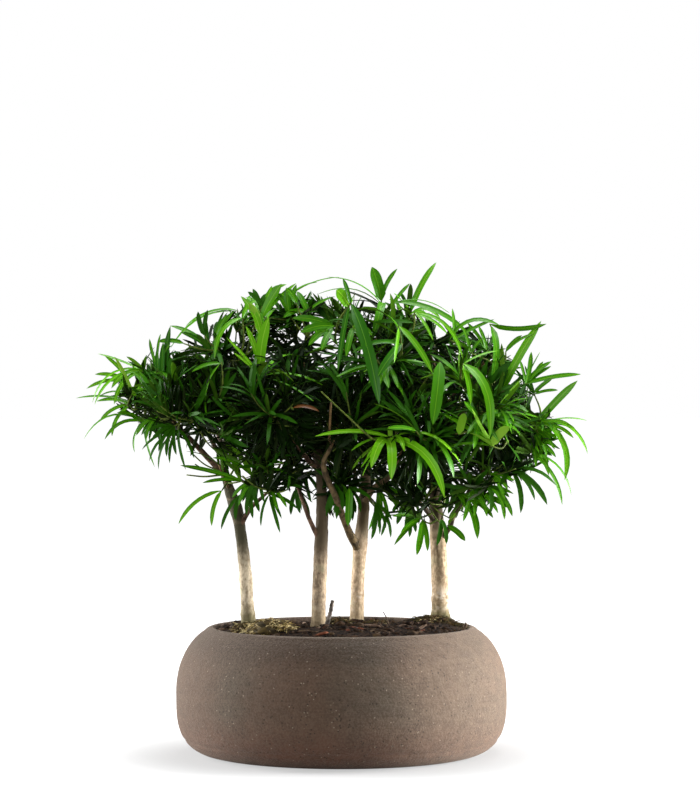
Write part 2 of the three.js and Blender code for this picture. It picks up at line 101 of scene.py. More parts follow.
# Each mass has its stem, fork height, bough girth, middle, half sizes and bends of its bough, and leaf tips
# on the crown's outline, all as in the solids. Where a mass isn't like the rest, `lush` is the share of the
# usual number of leaves, `shoots` the number of shoots, and `painted_shade` how much painted shade darkens
# the tones of its leaves; below 0 it is painted light that brightens them.
MASSES = {
    "left_far": {
        "stem": "trunk_1", "fork": 176, "girth": 2.2, "middle": (-118, -8, 222), "half": (44, 44, 42),
        "via": [(-82, -6, 184)], "lush": 0.85,
        "tips": [(-169, -8, 223), (-153, -2, 251), (-162, -4, 198), (-147, -18, 199)],
    },
    "left_front": {
        "stem": "trunk_1", "fork": 187, "girth": 1.9, "middle": (-90, -50, 212), "half": (42, 44, 44),
        "tips": [(-118, -72, 182)],
    },
    "left_back": {
        "stem": "trunk_1", "fork": 192, "girth": 1.9, "middle": (-88, 48, 218), "half": (44, 44, 44),
    },
    "left_top": {
        "stem": "trunk_1", "middle": (-68, 0, 254), "half": (44, 44, 40),
        "tips": [(-64, -4, 289), (-109, 0, 270), (-90, -10, 276)],
    },
    "left_under": {
        "stem": "trunk_1", "fork": 164, "middle": (-76, -14, 180), "half": (26, 30, 32), "shoots": 2,
        "lush": 0.15,
    },
    "left_low": {
        "stem": "trunk_1", "fork": 143, "girth": 1.7, "middle": (-41, -27, 170), "half": (30, 34, 34),
        "via": [(-57, -13, 155)], "shoots": 3, "lush": 0.6, "painted_shade": -0.1,
    },
    "mid_left_front": {
        "stem": "trunk_2", "fork": 178, "girth": 1.9, "middle": (-44, -56, 216), "half": (42, 42, 44),
        "painted_shade": 0.1,
    },
    "mid_left_back": {
        "stem": "trunk_2", "fork": 184, "girth": 1.9, "middle": (-36, 56, 220), "half": (44, 44, 46),
    },
    "mid_left_top": {
        "stem": "trunk_2", "middle": (-29, -2, 262), "half": (40, 46, 40),
        "tips": [(-40, -6, 296), (-16, -8, 299)],
    },
    "mid_left_low": {
        "stem": "trunk_2", "fork": 133, "girth": 1.6, "middle": (-36, 6, 190), "half": (38, 40, 38),
        "via": [(-20, -18, 148)], "painted_shade": -0.12,
    },
    "mid_front": {
        "stem": "trunk_3", "fork": 126, "girth": 2.5, "middle": (-2, -52, 208), "half": (38, 42, 44),
        "via": [(4.6, -4, 140), (-4, -23, 163), (-11, -33, 182)], "painted_shade": 0.06,
    },
    "mid_upper_front": {
        "stem": "trunk_3", "fork": 206, "girth": 1.7, "middle": (22, -50, 250), "half": (42, 42, 38),
        "tips": [(30, -66, 288)],
    },
    "mid_top": {
        "stem": "trunk_3", "middle": (8, 2, 268), "half": (36, 46, 38), "tips": [(16, -4, 306)],
    },
    "mid_back": {
        "stem": "trunk_3", "fork": 188, "girth": 1.9, "middle": (24, 60, 222), "half": (44, 44, 46),
    },
    "mid_low": {
        "stem": "trunk_3", "fork": 160, "middle": (6, 8, 182), "half": (38, 42, 42), "shoots": 4,
        "painted_shade": -0.12,
    },
    "bright_front": {
        "stem": "trunk_3", "fork": 158, "girth": 2.1, "middle": (42, -60, 200), "half": (40, 40, 40),
        "via": [(21, -10, 168), (30, -28, 175)], "tips": [(68, -88, 176), (46, -92, 172)],
    },
    "right_far": {
        "stem": "trunk_4", "fork": 182, "girth": 2.2, "middle": (118, -4, 212), "half": (38, 46, 46),
        "lush": 0.74, "tips": [(157.5, -6, 191), (151, -4, 238), (145, -14, 168)],
    },
    "right_top": {
        "stem": "trunk_4", "fork": 214, "girth": 1.7, "middle": (90, 0, 246), "half": (44, 46, 36),
        "tips": [(129, -8, 273), (97, -6, 276)],
    },
    "right_peak": {
        "stem": "trunk_4", "middle": (46, 2, 264), "half": (38, 46, 40), "tips": [(60.5, -4, 310.4)],
    },
    "right_front": {
        "stem": "trunk_4", "fork": 180, "girth": 2, "middle": (84, -56, 220), "half": (42, 42, 44),
    },
    "right_back": {
        "stem": "trunk_4", "fork": 186, "girth": 2, "middle": (82, 58, 222), "half": (46, 46, 46),
    },
    "right_low": {
        "stem": "trunk_4", "fork": 131, "girth": 1.7, "middle": (90, -14, 180), "half": (44, 42, 40),
        "via": [(69, 8, 142), (72, 3, 151)], "lush": 0.8,
        "tips": [(88, -30, 134), (113, -24, 150), (129, -16, 153)],
    },
    "right_low_left": {
        "stem": "trunk_4", "fork": 144, "girth": 2, "middle": (46, -14, 162), "half": (34, 34, 40),
        "via": [(54, 5, 153)], "shoots": 4,
    },
}

# Tufts of each mass that stand out in front, on top or below: the tone of the tuft, which holds painted
# light and shade as all tones do, and its foot, and for each leaf the x, y and z of its tip, its width, the
# rise of its arch and how far its blade is turned to the front, from 0 for edge on to 1 for full face.
SPRAYS = {
    "left_far": [
        ("dusky", (-109, -34, 225), [
            (-106, -38, 269, 4, 0.05, 0.9), (-114, -40, 256, 3.1, 0.08, 0.7),
            (-119, -30, 257, 2.2, 0.06, 0.6), (-110, -44, 259, 3.7, 0.05, 0.8),
            (-85, -46, 217, 4, 0.12, 0.9), (-123, -36, 241, 3.7, 0.15, 0.6)]),
        ("fresh", (-125, -24, 242), [
            (-156, -22, 221, 2.5, 0.28, 0.4), (-154, -28, 220, 2.7, 0.22, 0.5),
            (-143, -34, 230, 3.2, 0.2, 0.8), (-141, -38, 220, 3, 0.2, 0.8),
            (-153, -18, 252, 2.4, 0.04, 0.4), (-134, -30, 250, 2.5, 0.08, 0.7)]),
        ("bright", (-130, -32, 227), [
            (-141, -36, 250, 2.2, 0.04, 0.9), (-127, -34, 224, 2.5, 0.2, 0.5)]),
        ("mid", (-129, -20, 220), [
            (-167, -16, 224, 2.3, 0.1, 0.4), (-152, -24, 225, 1.8, 0.3, 0.4)]),
        ("mid", (-123, -24, 209), [
            (-162, -18, 198, 2.1, 0.3, 0.4), (-148, -26, 198, 2.6, 0.25, 0.7),
            (-140, -30, 215, 2.5, 0.12, 0.6), (-129, -28, 190, 1.9, 0.2, 0.5),
            (-116, -34, 181, 1.9, 0.2, 0.5)]),
        ("mid", (-114, -36, 243), [
            (-119, -38, 261, 2.2, 0.05, 0.8), (-112, -40, 264, 2.1, 0.05, 0.7),
            (-106, -38, 258, 2.2, 0.08, 0.8)]),
        ("fresh", (-134, -14, 235), [
            (-155, -16, 239, 2.6, 0.1, 0.8), (-149, -16, 251, 2.5, 0.08, 0.8),
            (-160, -18, 230, 2.5, 0.14, 0.8)]),
        ("fresh", (-132, -16, 220), [
            (-152, -18, 209, 2.5, 0.16, 0.8), (-144, -18, 200, 2.6, 0.18, 0.8),
            (-154, -16, 222, 2.4, 0.14, 0.7)]),
    ],
    "left_front": [
        ("mid", (-73, -66, 246), [
            (-81, -72, 210, 1.9, 0.22, 0.5), (-91, -70, 240, 2.4, 0.12, 0.7)]),
        ("deep", (-100, -52, 204), [
            (-118, -54, 185, 2.2, 0.2, 0.6), (-123, -50, 192, 2.2, 0.15, 0.6),
            (-112, -58, 180, 2.1, 0.2, 0.5), (-105, -60, 184, 2.2, 0.15, 0.7),
            (-95, -62, 180, 2.2, 0.2, 0.6), (-90, -60, 187, 2.3, 0.2, 0.7)]),
        ("deep", (-113, -50, 211), [
            (-123, -52, 201, 2.1, 0.15, 0.6), (-118, -54, 198, 2, 0.12, 0.7),
            (-110, -56, 195, 2.1, 0.12, 0.6), (-105, -56, 197, 2, 0.12, 0.6),
            (-126, -50, 206, 1.8, 0.15, 0.6)]),
        ("deep", (-103, -54, 207), [
            (-117, -56, 197, 2.7, 0.14, 0.7), (-112, -58, 191, 2.7, 0.12, 0.7),
            (-107, -58, 188, 2.7, 0.12, 0.7), (-101, -58, 189, 2.6, 0.12, 0.7),
            (-122, -54, 202, 2.5, 0.14, 0.7)]),
        ("mid", (-113, -50, 213), [
            (-126, -54, 201, 2.6, 0.16, 0.8), (-120, -56, 198, 2.6, 0.16, 0.8)]),
    ],
    "left_top": [
        ("dusky", (-82, -32, 253), [
            (-84, -36, 273, 3.1, 0.05, 0.9), (-90, -38, 264, 3.1, 0.06, 0.8),
            (-100, -36, 265, 3.1, 0.12, 0.8), (-77, -28, 265, 1.9, 0.03, 0.7)]),
        ("mid", (-65, -20, 279), [
            (-98, -18, 269, 2.6, 0.16, 0.4), (-107, -24, 255, 2.3, 0.2, 0.4)]),
        ("fresh", (-61, -38, 274), [
            (-78, -50, 248, 3.1, 0.25, 0.8), (-49, -34, 286, 3.1, 0.25, 0.6)]),
        ("bright", (-50, -46, 264), [
            (-62, -48, 287, 3.7, 0.14, 1), (-57, -52, 283, 4.6, 0.12, 1)]),
        ("fresh", (-48, -30, 275), [
            (-34, -30, 295, 3.7, 0.3, 0.7), (-28, -26, 296, 2.7, 0.05, 0.7), (-60, -28, 287, 2.9, 0.3, 0.6),
            (-55, -26, 292, 1.9, 0.02, 0.6)]),
        ("mid", (-98, -34, 258), [
            (-114, -38, 259, 3.1, 0.1, 0.8)]),
        ("deep", (-85, -34, 263), [
            (-89, -36, 278, 3.4, 0.06, 0.8), (-83, -36, 279, 3.1, 0.06, 0.8)]),
        ("mid", (-79, -30, 262), [
            (-71, -34, 276, 2.9, 0.04, 0.8), (-67, -34, 278, 2.7, 0.06, 0.8)]),
    ],
    "left_under": [
        ("mid", (-62, -20, 172), [
            (-101, -24, 182, 2.9, 0.04, 0.8), (-87, -24, 171, 2.5, 0.08, 0.7),
            (-73, -30, 204, 4.1, 0.05, 0.8)]),
        ("fresh", (-75, -20, 166), [
            (-102, -24, 145, 2.9, 0.16, 0.7), (-81, -26, 144, 2.9, 0.12, 0.8)]),
    ],
    "left_low": [
        ("deep", (-45, -28, 164), [
            (-38, -34, 140, 2.5, 0.12, 0.7), (-50, -34, 144, 2.1, 0.12, 0.6),
            (-27, -34, 155, 2.5, 0.12, 0.7), (-37, -36, 149, 2.1, 0.1, 0.6)]),
        ("mid", (-56, -26, 175), [
            (-80, -38, 187, 2.7, 0.15, 0.7), (-68, -38, 194, 3.1, 0.1, 0.8), (-36, -40, 184, 3.1, 0.2, 0.6),
            (-31, -40, 175, 2.7, 0.25, 0.5)]),
        ("deep", (-51, -24, 173), [
            (-62, -24, 159, 2.6, 0.1, 0.7), (-56, -28, 157, 2.4, 0.1, 0.6), (-48, -30, 159, 2.5, 0.1, 0.7),
            (-41, -30, 161, 2.5, 0.15, 0.7), (-63, -26, 165, 2.7, 0.1, 0.8)]),
        ("deep", (-50, -26, 174), [
            (-60, -30, 167, 2.2, 0.1, 0.7), (-57, -32, 161, 2.1, 0.1, 0.7), (-53, -30, 159, 2.1, 0.1, 0.6),
            (-61, -30, 172, 2.1, 0.1, 0.7)]),
        ("deep", (-52, -28, 177), [
            (-59, -32, 156, 3.2, 0.08, 0.8), (-62, -30, 162, 3.1, 0.08, 0.8),
            (-54, -32, 161, 3.2, 0.1, 0.8)]),
        ("deep", (-63, -26, 164), [
            (-75, -30, 142, 2.6, 0.1, 0.7), (-66, -30, 148, 2.7, 0.1, 0.8)]),
        ("mid", (-44, -30, 169), [
            (-39, -34, 152, 2.5, 0.1, 0.7), (-34, -34, 156, 2.5, 0.12, 0.7)]),
        ("mid", (-56, -28, 172), [
            (-64, -32, 157, 2.7, 0.1, 0.8), (-68, -30, 162, 2.6, 0.12, 0.8)]),
        ("deep", (-56, -28, 169), [
            (-55, -32, 149, 2.9, 0.08, 0.8), (-59, -32, 151, 2.9, 0.08, 0.8),
            (-51, -32, 153, 2.9, 0.1, 0.8)]),
    ],
    "mid_left_front": [
        ("bright", (-49, -62, 238), [
            (-44, -72, 273, 6.4, 0.07, 1), (-58, -72, 268, 3.6, 0.06, 0.8), (-70, -66, 261, 2, 0.03, 0.7),
            (-66, -70, 252, 1.9, 0.05, 0.7)]),
        ("deep", (-49, -40, 281), [
            (-58, -40, 290, 3.1, 0.08, 0.8), (-55, -38, 292, 3.1, 0.1, 0.8),
            (-47, -36, 289, 3.1, 0.1, 0.8)]),
        ("withered", (-29, -92, 218), [
            (-13, -96, 216, 2.4, 0.16, 0.6)]),
    ],
    "mid_left_top": [
        ("mid", (-21, -28, 278), [
            (-6, -28, 287, 2.1, 0.08, 0.6), (-28, -22, 291, 3.8, 0.1, 0.8), (-36, -36, 274, 3.7, 0.2, 0.7),
            (-14, -40, 261, 3.1, 0.2, 0.7)]),
        ("mid", (-31, -14, 290), [
            (-15, -16, 297, 2, 0.1, 0.3), (-1, -18, 300, 1.5, 0.1, 0.3)]),
        ("mid", (-32, -30, 275), [
            (-28, -30, 295, 3.7, 0.06, 0.8), (-34, -32, 293, 4.4, 0.08, 0.8),
            (-41, -32, 290, 3.7, 0.1, 0.8)]),
        ("fresh", (-49, -40, 274), [
            (-37, -40, 295, 5, 0.05, 0.9), (-43, -36, 294, 3.1, 0.06, 0.8)]),
        ("mid", (-28, -34, 283), [
            (-34, -38, 292, 4, 0.1, 0.9)]),
        ("mid", (-4, -60, 268), [
            (-25, -66, 264, 4.5, 0.12, 0.9), (-30, -62, 273, 4.2, 0.1, 0.9), (-12, -72, 253, 3.9, 0.1, 0.9),
            (-20, -70, 256, 3.9, 0.12, 0.9)]),
    ],
    "mid_left_low": [
        ("deep", (-22, -4, 176), [
            (-29, -6, 160, 2.7, 0.15, 0.7), (-19, -8, 158, 2.5, 0.1, 0.7), (-13, -10, 162, 2.5, 0.15, 0.7),
            (-25, -8, 153, 2.4, 0.12, 0.6), (-32, -8, 169, 2.7, 0.2, 0.8)]),
        ("shade", (-3, -10, 180), [
            (-12, -14, 166, 2.5, 0.15, 0.7), (-2, -12, 160, 2.5, 0.1, 0.7), (7, -14, 163, 2.6, 0.2, 0.7),
            (-8, -14, 174, 2.5, 0.2, 0.7), (3, -12, 154, 2.5, 0.1, 0.7)]),
        ("deep", (-28, -2, 167), [
            (-32, -4, 150, 2.9, 0.08, 0.8), (-26, -6, 151, 2.9, 0.08, 0.8), (-20, 6, 149, 2.9, 0.08, 0.8)]),
    ],
    "mid_upper_front": [
        ("dusky", (6, -66, 282), [
            (23, -92, 220, 6.9, 0.1, 1), (1, -70, 297, 2.8, 0.05, 0.8), (-2, -80, 240, 3.3, 0.12, 0.8)]),
        ("bright", (5, -64, 280), [
            (-3, -70, 290, 7.3, 0.08, 1)]),
        ("fresh", (35, -74, 268), [
            (55, -92, 239, 3.6, 0.08, 0.9), (32, -86, 245, 2.4, 0.08, 0.6)]),
        ("dusky", (37, -74, 257), [
            (22, -90, 237, 4.8, 0.08, 0.9), (7, -84, 252, 3, 0.15, 0.7)]),
        ("fresh", (45, -60, 277), [
            (56, -72, 259, 2.1, 0.08, 0.7), (74, -70, 248, 2.7, 0.25, 0.7),
            (65, -66, 263, 2.4, 0.12, 0.6)]),
        ("mid", (7, -72, 268), [
            (19, -80, 262, 3.8, 0.12, 0.9), (3, -84, 249, 3.6, 0.1, 0.9), (15, -84, 252, 3.6, 0.14, 0.8)]),
    ],
    "mid_top": [
        ("mid", (25, -22, 285), [
            (19, -28, 306, 7, 0.04, 0.9), (35, -26, 305, 3.1, 0.1, 0.7), (19, -48, 260, 4.9, 0.35, 0.95),
            (-9, -20, 300, 2.3, 0.16, 0.2), (-15, -24, 289, 1.6, 0.22, 0.2)]),
        ("mid", (32, -26, 284), [
            (80, -34, 263, 4, 0.14, 0.6), (68, -24, 277, 1.5, 0.18, 0.2), (43, -20, 296, 2.5, 0.05, 0.7)]),
    ],
    "mid_back": [
        ("deep", (42, 6, 281), [
            (44, 4, 297, 3.4, 0.04, 0.9), (37, 6, 292, 2.5, 0.05, 0.8)]),
    ],
    "mid_low": [
        ("mid", (23, 4, 168), [
            (17, 0, 140, 2.8, 0.1, 0.6), (23, 0, 142, 2.9, 0.1, 0.8), (29, -4, 144, 2.8, 0.12, 0.7),
            (36, -6, 152, 2.7, 0.15, 0.5), (39, -8, 162, 3, 0.1, 0.8)]),
        ("deep", (3, -6, 167), [
            (3, -8, 141, 3.2, 0.1, 0.8), (-5, -8, 150, 2.5, 0.2, 0.5), (-8, -12, 160, 3.1, 0.25, 0.7),
            (12, -10, 152, 2.8, 0.2, 0.6)]),
        ("deep", (-1, -16, 170), [
            (-5, -18, 156, 2.3, 0.1, 0.7), (-1, -18, 151, 2.1, 0.1, 0.7), (-8, -18, 160, 2.1, 0.1, 0.7)]),
        ("mid", (5, -20, 168), [
            (4, -24, 144, 4.6, 0.06, 0.95)]),
        ("deep", (21, -8, 157), [
            (19, -10, 141, 2.1, 0.1, 0.7), (24, -12, 138, 2.1, 0.1, 0.7), (28, -12, 142, 2.3, 0.12, 0.7),
            (32, -12, 147, 2.1, 0.12, 0.7)]),
        ("deep", (-3, -18, 171), [
            (-7, -20, 153, 3.3, 0.08, 0.8), (-3, -20, 148, 3.1, 0.08, 0.8), (1, -20, 154, 3.3, 0.1, 0.8)]),
        ("deep", (28, -6, 151), [
            (25, -8, 137, 2.4, 0.08, 0.6), (31, -10, 136, 2.4, 0.08, 0.6)]),
        ("deep", (-6, -14, 164), [
            (-10, -16, 149, 2.5, 0.08, 0.8), (-2, -16, 150, 2.5, 0.1, 0.8)]),
        ("mid", (0, -16, 170), [
            (0, -18, 154, 2.5, 0.08, 0.8), (5, -18, 156, 2.5, 0.1, 0.8), (-5, -18, 156, 2.4, 0.1, 0.8)]),
        ("deep", (-1, 8, 172), [
            (-5, 6, 157, 3.4, 0.06, 0.9), (2, 6, 155, 3.4, 0.06, 0.9), (-1, 4, 153, 3.2, 0.06, 0.9),
            (-9, 6, 159, 2.9, 0.08, 0.9)]),
        ("deep", (3, 4, 167), [
            (4, 2, 149, 3.2, 0.06, 0.9), (9, 2, 151, 3.2, 0.06, 0.9), (7, 2, 146, 2.9, 0.06, 0.8)]),
        ("deep", (22, 8, 154), [
            (19, 8, 134, 2.9, 0.06, 0.8)]),
        ("deep", (-12, 8, 164), [
            (-7, 8, 149, 2.9, 0.06, 0.8), (-12, 8, 148, 2.9, 0.06, 0.8)]),
    ],
    "bright_front": [
        ("bright", (28, -82, 199), [
            (18, -99, 182, 5.4, 0.35, 0.95), (30, -103, 175, 5.7, 0.3, 1), (62, -98, 164, 5.2, 0.28, 0.9),
            (73, -92, 183, 2.4, 0.3, 0.5), (29, -92, 207, 3, 0.05, 0.9), (-16, -92, 201, 2.8, 0.1, 0.7),
            (38, -100, 192, 3, 0.25, 0.7)]),
        ("mid", (60, -78, 246), [
            (55, -97, 208, 7.2, 0.08, 1)]),
    ],
    "right_far": [
        ("mid", (115, -34, 233), [
            (118, -36, 253, 3.1, 0.03, 0.9), (111, -34, 248, 2.1, 0.02, 0.8),
            (131, -30, 247, 3.2, 0.08, 0.7), (150, -24, 239, 3.1, 0.05, 0.8),
            (124, -30, 253, 1.2, 0.04, 0.4)]),
        ("fresh", (121, -30, 207), [
            (147, -34, 235, 4.6, 0.03, 0.95), (140, -28, 225, 2.5, 0.1, 0.5)]),
        ("fresh", (127, -28, 210), [
            (154, -26, 189, 2.3, 0.24, 0.7), (139, -32, 173, 4, 0.22, 0.85), (154, -22, 210, 1.5, 0.1, 0.4),
            (136, -38, 196, 2.5, 0.2, 0.7)]),
        ("mid", (118, -26, 190), [
            (144, -22, 163, 2.1, 0.22, 0.5), (138, -26, 157, 2.7, 0.15, 0.7),
            (129, -34, 176, 3.1, 0.2, 0.7)]),
        ("mid", (120, -30, 227), [
            (132, -32, 237, 2.7, 0.05, 0.8), (135, -32, 229, 2.2, 0.08, 0.7)]),
        ("mid", (120, -28, 204), [
            (135, -30, 198, 2.6, 0.14, 0.7), (133, -30, 192, 2.7, 0.14, 0.8),
            (128, -30, 187, 2.6, 0.12, 0.7), (138, -28, 203, 2.2, 0.1, 0.7)]),
        ("mid", (118, -26, 197), [
            (126, -30, 184, 2.5, 0.12, 0.7), (121, -30, 181, 2.6, 0.1, 0.8)]),
        ("mid", (119, -24, 235), [
            (126, -28, 247, 2.5, 0.05, 0.8), (131, -28, 244, 2.2, 0.06, 0.7)]),
        ("fresh", (121, -30, 208), [
            (142, -34, 208, 2.5, 0.12, 0.8), (134, -34, 205, 2.4, 0.12, 0.7)]),
        ("mid", (115, -28, 208), [
            (129, -30, 202, 2.6, 0.12, 0.8), (132, -30, 197, 2.5, 0.12, 0.8),
            (124, -30, 192, 2.6, 0.12, 0.8)]),
        ("deep", (120, -20, 210), [
            (128, -20, 198, 3.4, 0.1, 0.9), (123, -20, 193, 3.1, 0.1, 0.9),
            (132, -20, 202, 3.1, 0.12, 0.9)]),
        ("mid", (118, -26, 199), [
            (135, -28, 193, 2.9, 0.1, 0.9), (134, -28, 187, 2.9, 0.12, 0.8),
            (129, -28, 182, 2.7, 0.12, 0.8)]),
        ("fresh", (128, -26, 208), [
            (146, -28, 205, 2.5, 0.12, 0.8), (145, -28, 199, 2.5, 0.14, 0.8)]),
        ("deep", (117, -24, 194), [
            (132, -24, 188, 2.9, 0.06, 0.9), (130, -24, 184, 2.8, 0.08, 0.9)]),
    ],
    "right_top": [
        ("bright", (99, -34, 227), [
            (124, -40, 272, 5.1, 0.03, 1), (99, -46, 258, 3.1, 0.03, 0.8)]),
        ("mid", (67, -42, 260), [
            (98, -46, 269, 3.7, 0.3, 0.5), (95, -38, 273, 2.4, 0.04, 0.7), (69, -34, 280, 2.4, 0.05, 0.7)]),
        ("mid", (92, -42, 270), [
            (127, -44, 270, 3.8, -0.1, 0.8), (92, -60, 233, 4.3, 0.2, 0.8)]),
        ("deep", (84, -56, 225), [
            (105, -60, 247, 4.6, 0.05, 0.9), (101, -50, 252, 1.8, 0.05, 0.5)]),
        ("mid", (79, -52, 252), [
            (75, -54, 267, 2.3, 0.05, 0.8), (87, -50, 261, 2.2, 0.08, 0.7),
            (71, -54, 259, 2.1, 0.08, 0.8)]),
        ("mid", (102, -40, 253), [
            (112, -42, 263, 2.5, 0.08, 0.7), (119, -40, 264, 2.2, 0.1, 0.6)]),
        ("mid", (90, -36, 254), [
            (78, -38, 271, 2.5, 0.05, 0.8), (85, -38, 269, 2.5, 0.05, 0.8)]),
    ],
    "right_peak": [
        ("fresh", (43, -14, 277), [
            (60, -6, 310, 3.9, 0.13, 0.8), (62, -20, 274, 3.1, 0.3, 0.5), (54, -30, 272, 3.1, 0.25, 0.6)]),
    ],
    "right_front": [
        ("fresh", (74, -76, 245), [
            (89, -98, 200, 5.3, 0.26, 0.95), (96, -66, 253, 1.7, 0.08, 0.5),
            (78, -90, 220, 3.3, 0.1, 0.8)]),
        ("bright", (91, -84, 195), [
            (101, -94, 207, 5.4, 0.1, 0.95)]),
        ("fresh", (71, -86, 202), [
            (74, -96, 215, 4.8, 0.1, 0.95)]),
    ],
    "right_low": [
        ("mid", (77, -8, 160), [
            (85, -26, 136, 4.4, 0.14, 0.85), (95, -24, 149, 3.3, 0.14, 0.85),
            (105, -24, 155, 3.8, 0.16, 0.8), (108, -24, 164, 3.1, 0.2, 0.6)]),
        ("deep", (107, -20, 179), [
            (129, -22, 157, 4, 0.14, 0.8), (112, -26, 152, 3.4, 0.12, 0.85), (135, -16, 169, 2.9, 0.2, 0.6),
            (121, -24, 160, 2.8, 0.16, 0.7), (99, -30, 169, 3.1, 0.2, 0.6)]),
        ("mid", (67, -4, 143), [
            (78, -12, 134, 3.8, 0.1, 0.9), (72, -10, 152, 2.5, 0.1, 0.6)]),
        ("mid", (72, -20, 164), [
            (79, -28, 152, 2.4, 0.1, 0.7), (85, -30, 156, 2.2, 0.1, 0.7), (93, -28, 153, 2.4, 0.12, 0.7),
            (77, -26, 158, 2.1, 0.1, 0.7)]),
        ("mid", (82, -22, 168), [
            (76, -28, 147, 3.1, 0.08, 0.8), (83, -28, 150, 3.1, 0.08, 0.8), (91, -28, 150, 3.1, 0.1, 0.8),
            (98, -26, 152, 2.9, 0.12, 0.7)]),
        ("mid", (93, -24, 177), [
            (104, -26, 167, 2.9, 0.12, 0.8), (108, -26, 172, 2.7, 0.12, 0.7),
            (102, -28, 161, 2.9, 0.1, 0.8)]),
        ("mid", (89, -22, 172), [
            (95, -26, 158, 2.7, 0.1, 0.8), (102, -26, 155, 2.7, 0.12, 0.8)]),
        ("deep", (92, -24, 169), [
            (105, -28, 162, 2.7, 0.12, 0.8), (93, -28, 152, 2.7, 0.1, 0.8)]),
        ("mid", (96, -20, 168), [
            (107, -24, 150, 2.9, 0.1, 0.9), (102, -24, 148, 2.8, 0.1, 0.8)]),
        ("deep", (72, 14, 168), [
            (68, 14, 150, 3.3, 0.06, 0.9), (73, 14, 147, 3.3, 0.06, 0.9), (77, 14, 151, 2.9, 0.08, 0.8)]),
    ],
    "right_low_left": [
        ("mid", (50, -6, 148), [
            (37, -22, 139, 3.1, 0.1, 0.8), (33, -24, 132, 2.8, 0.1, 0.7), (32, -22, 150, 2.9, 0.1, 0.8),
            (54, -20, 128, 3.1, 0.08, 0.9), (47, -30, 126, 4, 0.06, 0.95)]),
        ("deep", (66, 0, 176), [
            (61, -6, 157, 2.8, 0.12, 0.7), (71, -6, 157, 2.5, 0.1, 0.7), (77, -8, 162, 2.7, 0.15, 0.7),
            (57, -8, 165, 2.8, 0.15, 0.8), (52, -10, 157, 2.5, 0.15, 0.7)]),
        ("deep", (42, 0, 159), [
            (35, -4, 144, 3.5, 0.1, 0.8), (40, -6, 141, 3.2, 0.1, 0.8), (32, -6, 152, 3.2, 0.15, 0.7)]),
        ("deep", (63, -8, 148), [
            (60, -12, 131, 2.9, 0.08, 0.8), (66, -12, 132, 2.8, 0.1, 0.8)]),
        ("deep", (65, 14, 173), [
            (62, 12, 155, 3.4, 0.06, 0.9), (67, 12, 154, 3.4, 0.06, 0.9), (58, 12, 160, 3.2, 0.08, 0.9),
            (72, 12, 159, 3.2, 0.08, 0.9), (64, 10, 162, 3.2, 0.06, 0.9)]),
        ("deep", (42, -2, 153), [
            (43, -4, 136, 2.9, 0.06, 0.8), (47, -4, 139, 2.8, 0.08, 0.8)]),
    ],
}

# Shoots that show in front of the leaves: their line, radius at the foot and at the tip.
SHOWN_SHOOTS = [
    ([(-6.5, -42.5, 195), (-7, -78, 201), (-6, -94, 221)], 1.0, 0.7),
    ([(28, -82, 199), (20, -94, 199), (2.4, -97, 214.5), (-12, -92, 228)], 0.6, 0.4),
]

# ---------------------------------------------------------------- sizes of the fine growth

# Radii of twigs by what they are, and how their surface is made.
TWIG = {"stem": 1.15, "shoot": 0.75, "fine": 0.55, "tip": 0.4, "sides": 6, "step": 2.5, "bumps": 0.12}

# How shoots stand on the stem of their mass, as in the solids: lengths are shares of the mass's size.
SHOOT = {
    "count": 4, "first": 0.4, "last": 0.9, "end": (0.6, 0.98), "longest": 0.8, "shortest": 0.3,
    "shorter": 0.1, "fan": 1.7, "steep": 0.8, "outward": 0.45, "upward": 0.2, "turn_slack": 0.6, "sag": 0.05,
}
# Each shoot bears side twigs of its own at these shares of its length.
FINE = {"places": (0.2, 0.4, 0.6, 0.8), "lean": 0.95, "length": 18, "length_slack": 10, "lift": 0.2}
# Twigs end this far under the dome.
UNDER_CREST = 9
# Directions that aren't quite upright, so that upright twigs have a side too.
TWIG_UP = (0.02, 0.01, 1)
LEAF_UP = (0.013, 0.021, 1)

# How leaves grow on a twig. Slack is how much chance may add or take off.
LEAF = {
    "length_slack": 0.22, "shortest": 0.55, "shorter": 0.9, "width_slack": 0.25, "bare": 0.12, "last": 0.99,
    "young_spread": 0.3, "old_spread": 1.4, "spread_slack": 0.35, "sideways": 0.35,
    "youngest": 0.7, "growth": 0.3,
    "turn_slack": 0.5, "droop_slack": 0.9, "stray": 0.4, "twist_slack": 1.4, "early": 0.35, "tries": 6,
    "next_try": 0.35, "bend": 0.48, "beyond_bend": 0.55,
}
# Where leaves may lie: past their mass's half sizes, past its space, over the dome and over the underside.
LEAF_ROOM = {"reach_slack": 0.2, "flat_top": 0.9, "space": -14, "over_crest": 12, "over_underside": 24}
# A leaf's line is tested at these shares of its length.
LEAF_TESTS = (0.4, 0.55, 0.7, 0.85, 1)
LIMB_CLEARANCE = 1.2
TUFT = {"age": 0.35, "length": 16, "fewest": 3}
# A leaf whose tip is on the outline: how near another tip makes it needless, and its longest way and looks.
TIP_LEAF = {"apart": 6, "longest": 62, "width": 4, "rise": 0.14, "facing": 0.5}
# The twig of a spray starts from the shoot that is nearest to a place this far below its foot. Its leaves
# are spaced by a share of it, and `own` is the share of the usual leaves that grow on it besides.
SPRAY = {"from_below": 8, "carry": 0.12, "sag": 2, "spacing": 0.035, "first_leaf": 3, "own": 0.6}
BEARING_SHARES = (0.35, 0.6, 0.8, 0.95)
# The arch of a leaf between two points, its lean to the outside and the most that its blade turns.
ARCH = {"outward": 0.35, "bend": 0.48, "rise": 1.6, "early": 0.85, "most_turn": 2.1}

